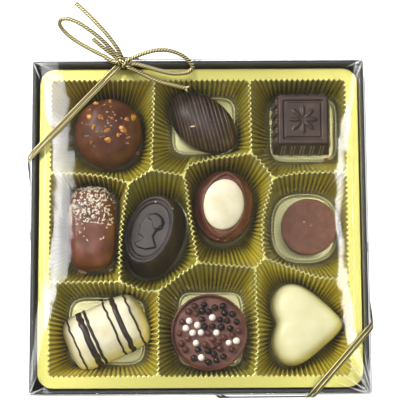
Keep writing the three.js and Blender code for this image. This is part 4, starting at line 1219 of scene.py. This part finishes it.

# Fold lines. Where the film is folded at the corners it turns white, along its top edges thin strips carry a painted
# grey shade, and at the near right corner, which has been pressed, small creases spread over the top.
CREASES = [
    ((69.4, -69.1), (65.3, -53.0), 0.5), ((69.2, -69.2), (60.5, -56.0), 0.7), ((69, -69.4), (57.0, -61.0), 0.5),
    ((69.4, -68.6), (68.6, -55.0), 0.5), ((68.2, -69.4), (59.0, -66.4), 0.6), ((68.8, -68.8), (63.0, -60.2), 0.35),
    ((69.3, -66), (66.8, -50), 0.3), ((66.5, -69.3), (55.0, -64.6), 0.3),
]
SLIVER_THICK = 0.1
FOLD_HEIGHT = 30.45
CREASE_HEIGHT = 31.2
# Folded film goes milky. Its edge looks grey as light is lost along it, and that grey is painted shade on thin
# strips. Both stay see-through.
stress_white = new_surface(
    "stress_whitened_film", Base_Color=linear("d4d4d0"), Roughness=0.25, Alpha=0.75, Specular_IOR_Level=0.6)[0]
edge_painted_shade_film = new_surface(
    "film_edge_painted_shade", Base_Color=linear("8c8c88"), Roughness=0.2, Alpha=0.75, Specular_IOR_Level=0.6)[0]


def sliver(start, finish, width, height):
    """A thin streak in mm, widest a third of the way along and pointed at its far end."""
    start, finish = Vector((*start, height)), Vector((*finish, height))
    onward = (finish - start).normalized()
    lift = Vector((0, 0, SLIVER_THICK / 2))
    rings = []
    for share, breadth in [(0, 0.35), (0.3, 1), (0.65, 0.6), (1, 0.12)]:
        middle, half = start.lerp(finish, share), Vector((-onward.y, onward.x, 0)) * width * breadth / 2
        corners = middle - half - lift, middle + half - lift, middle + half + lift, middle - half + lift
        rings.append([(corner * MM, 0.0) for corner in corners])
    return wrapped("sliver", rings, smooth=False)


lines = []
for x, y in [(-1, 1), (1, 1), (-1, -1)]:
    lines.append(sliver((69.3 * x, 69.3 * y), (62.5 * x, 66.4 * y), 0.5, FOLD_HEIGHT))
    lines.append(sliver((69.3 * x, 69.2 * y), (66.2 * x, 61.5 * y), 0.6, FOLD_HEIGHT))
for start, finish, width in CREASES:
    lines.append(sliver(start, finish, width, CREASE_HEIGHT))
settle(joined(lines, "white_fold_lines"), stress_white)
# Thin grey strips along the lid's top edges: painted shade.
rims = [block("film_rim", (139.4, 0.35, 0.12), (0, y, 31.14)) for y in (69.75, -69.75)]
rims += [block("film_rim", (0.35, 138.6, 0.12), (x, 0, 31.14)) for x in (69.75, -69.75)]
settle(joined(rims, "film_edge_lines"), edge_painted_shade_film)

# Surroundings: a plain pale floor and soft white light from all round, a large soft light overhead
# and two long narrow lights whose reflections are the streaks on the lid.
floor = primitive(bpy.ops.mesh.primitive_plane_add, "floor", size=4)
floor.data.materials.append(new_surface(
    "pale_floor", Base_Color=linear("ffffff"), Roughness=0.9, Emission_Color=linear("ffffff"), Emission_Strength=1.0,
)[0])

world = bpy.context.scene.world or bpy.data.worlds.new("studio")
bpy.context.scene.world = world
world.use_nodes = True
world.node_tree.nodes["Background"].inputs["Color"].default_value = (1, 1, 1, 1)
world.node_tree.nodes["Background"].inputs["Strength"].default_value = 0.2
bpy.context.scene.view_settings.view_transform = "Standard"

# Each light: its place in metres, its size, its power in watts and its turns in degrees.
for name, middle, size, power, turns in [
    ("overhead", (0, 0, 1.3), (1.3, 1.3), 3.2, (0, 0, 0)),
    ("window", (-0.95, 0.55, 1.0), (0.8, 0.8), 26, (-24, -42, 0)),
    ("left_streak", (-0.215, 0.2, 1.2), (0.011, 0.9), 1.25, (0, 0, -3)),
    ("left_glow", (-0.197, 0.28, 1.21), (0.02, 0.42), 0.6, (0, 0, -3)),
    ("right_streak", (0.218, 0.2, 1.2), (0.013, 0.9), 1.3, (0, 0, 0)),
]:
    light = bpy.data.lights.new(name, "AREA")
    light.shape = "RECTANGLE"
    light.size, light.size_y = size
    light.energy = power
    lamp = bpy.data.objects.new(name, light)
    lamp.location = middle
    lamp.rotation_euler = [radians(turn) for turn in turns]
    bpy.context.scene.collection.objects.link(lamp)
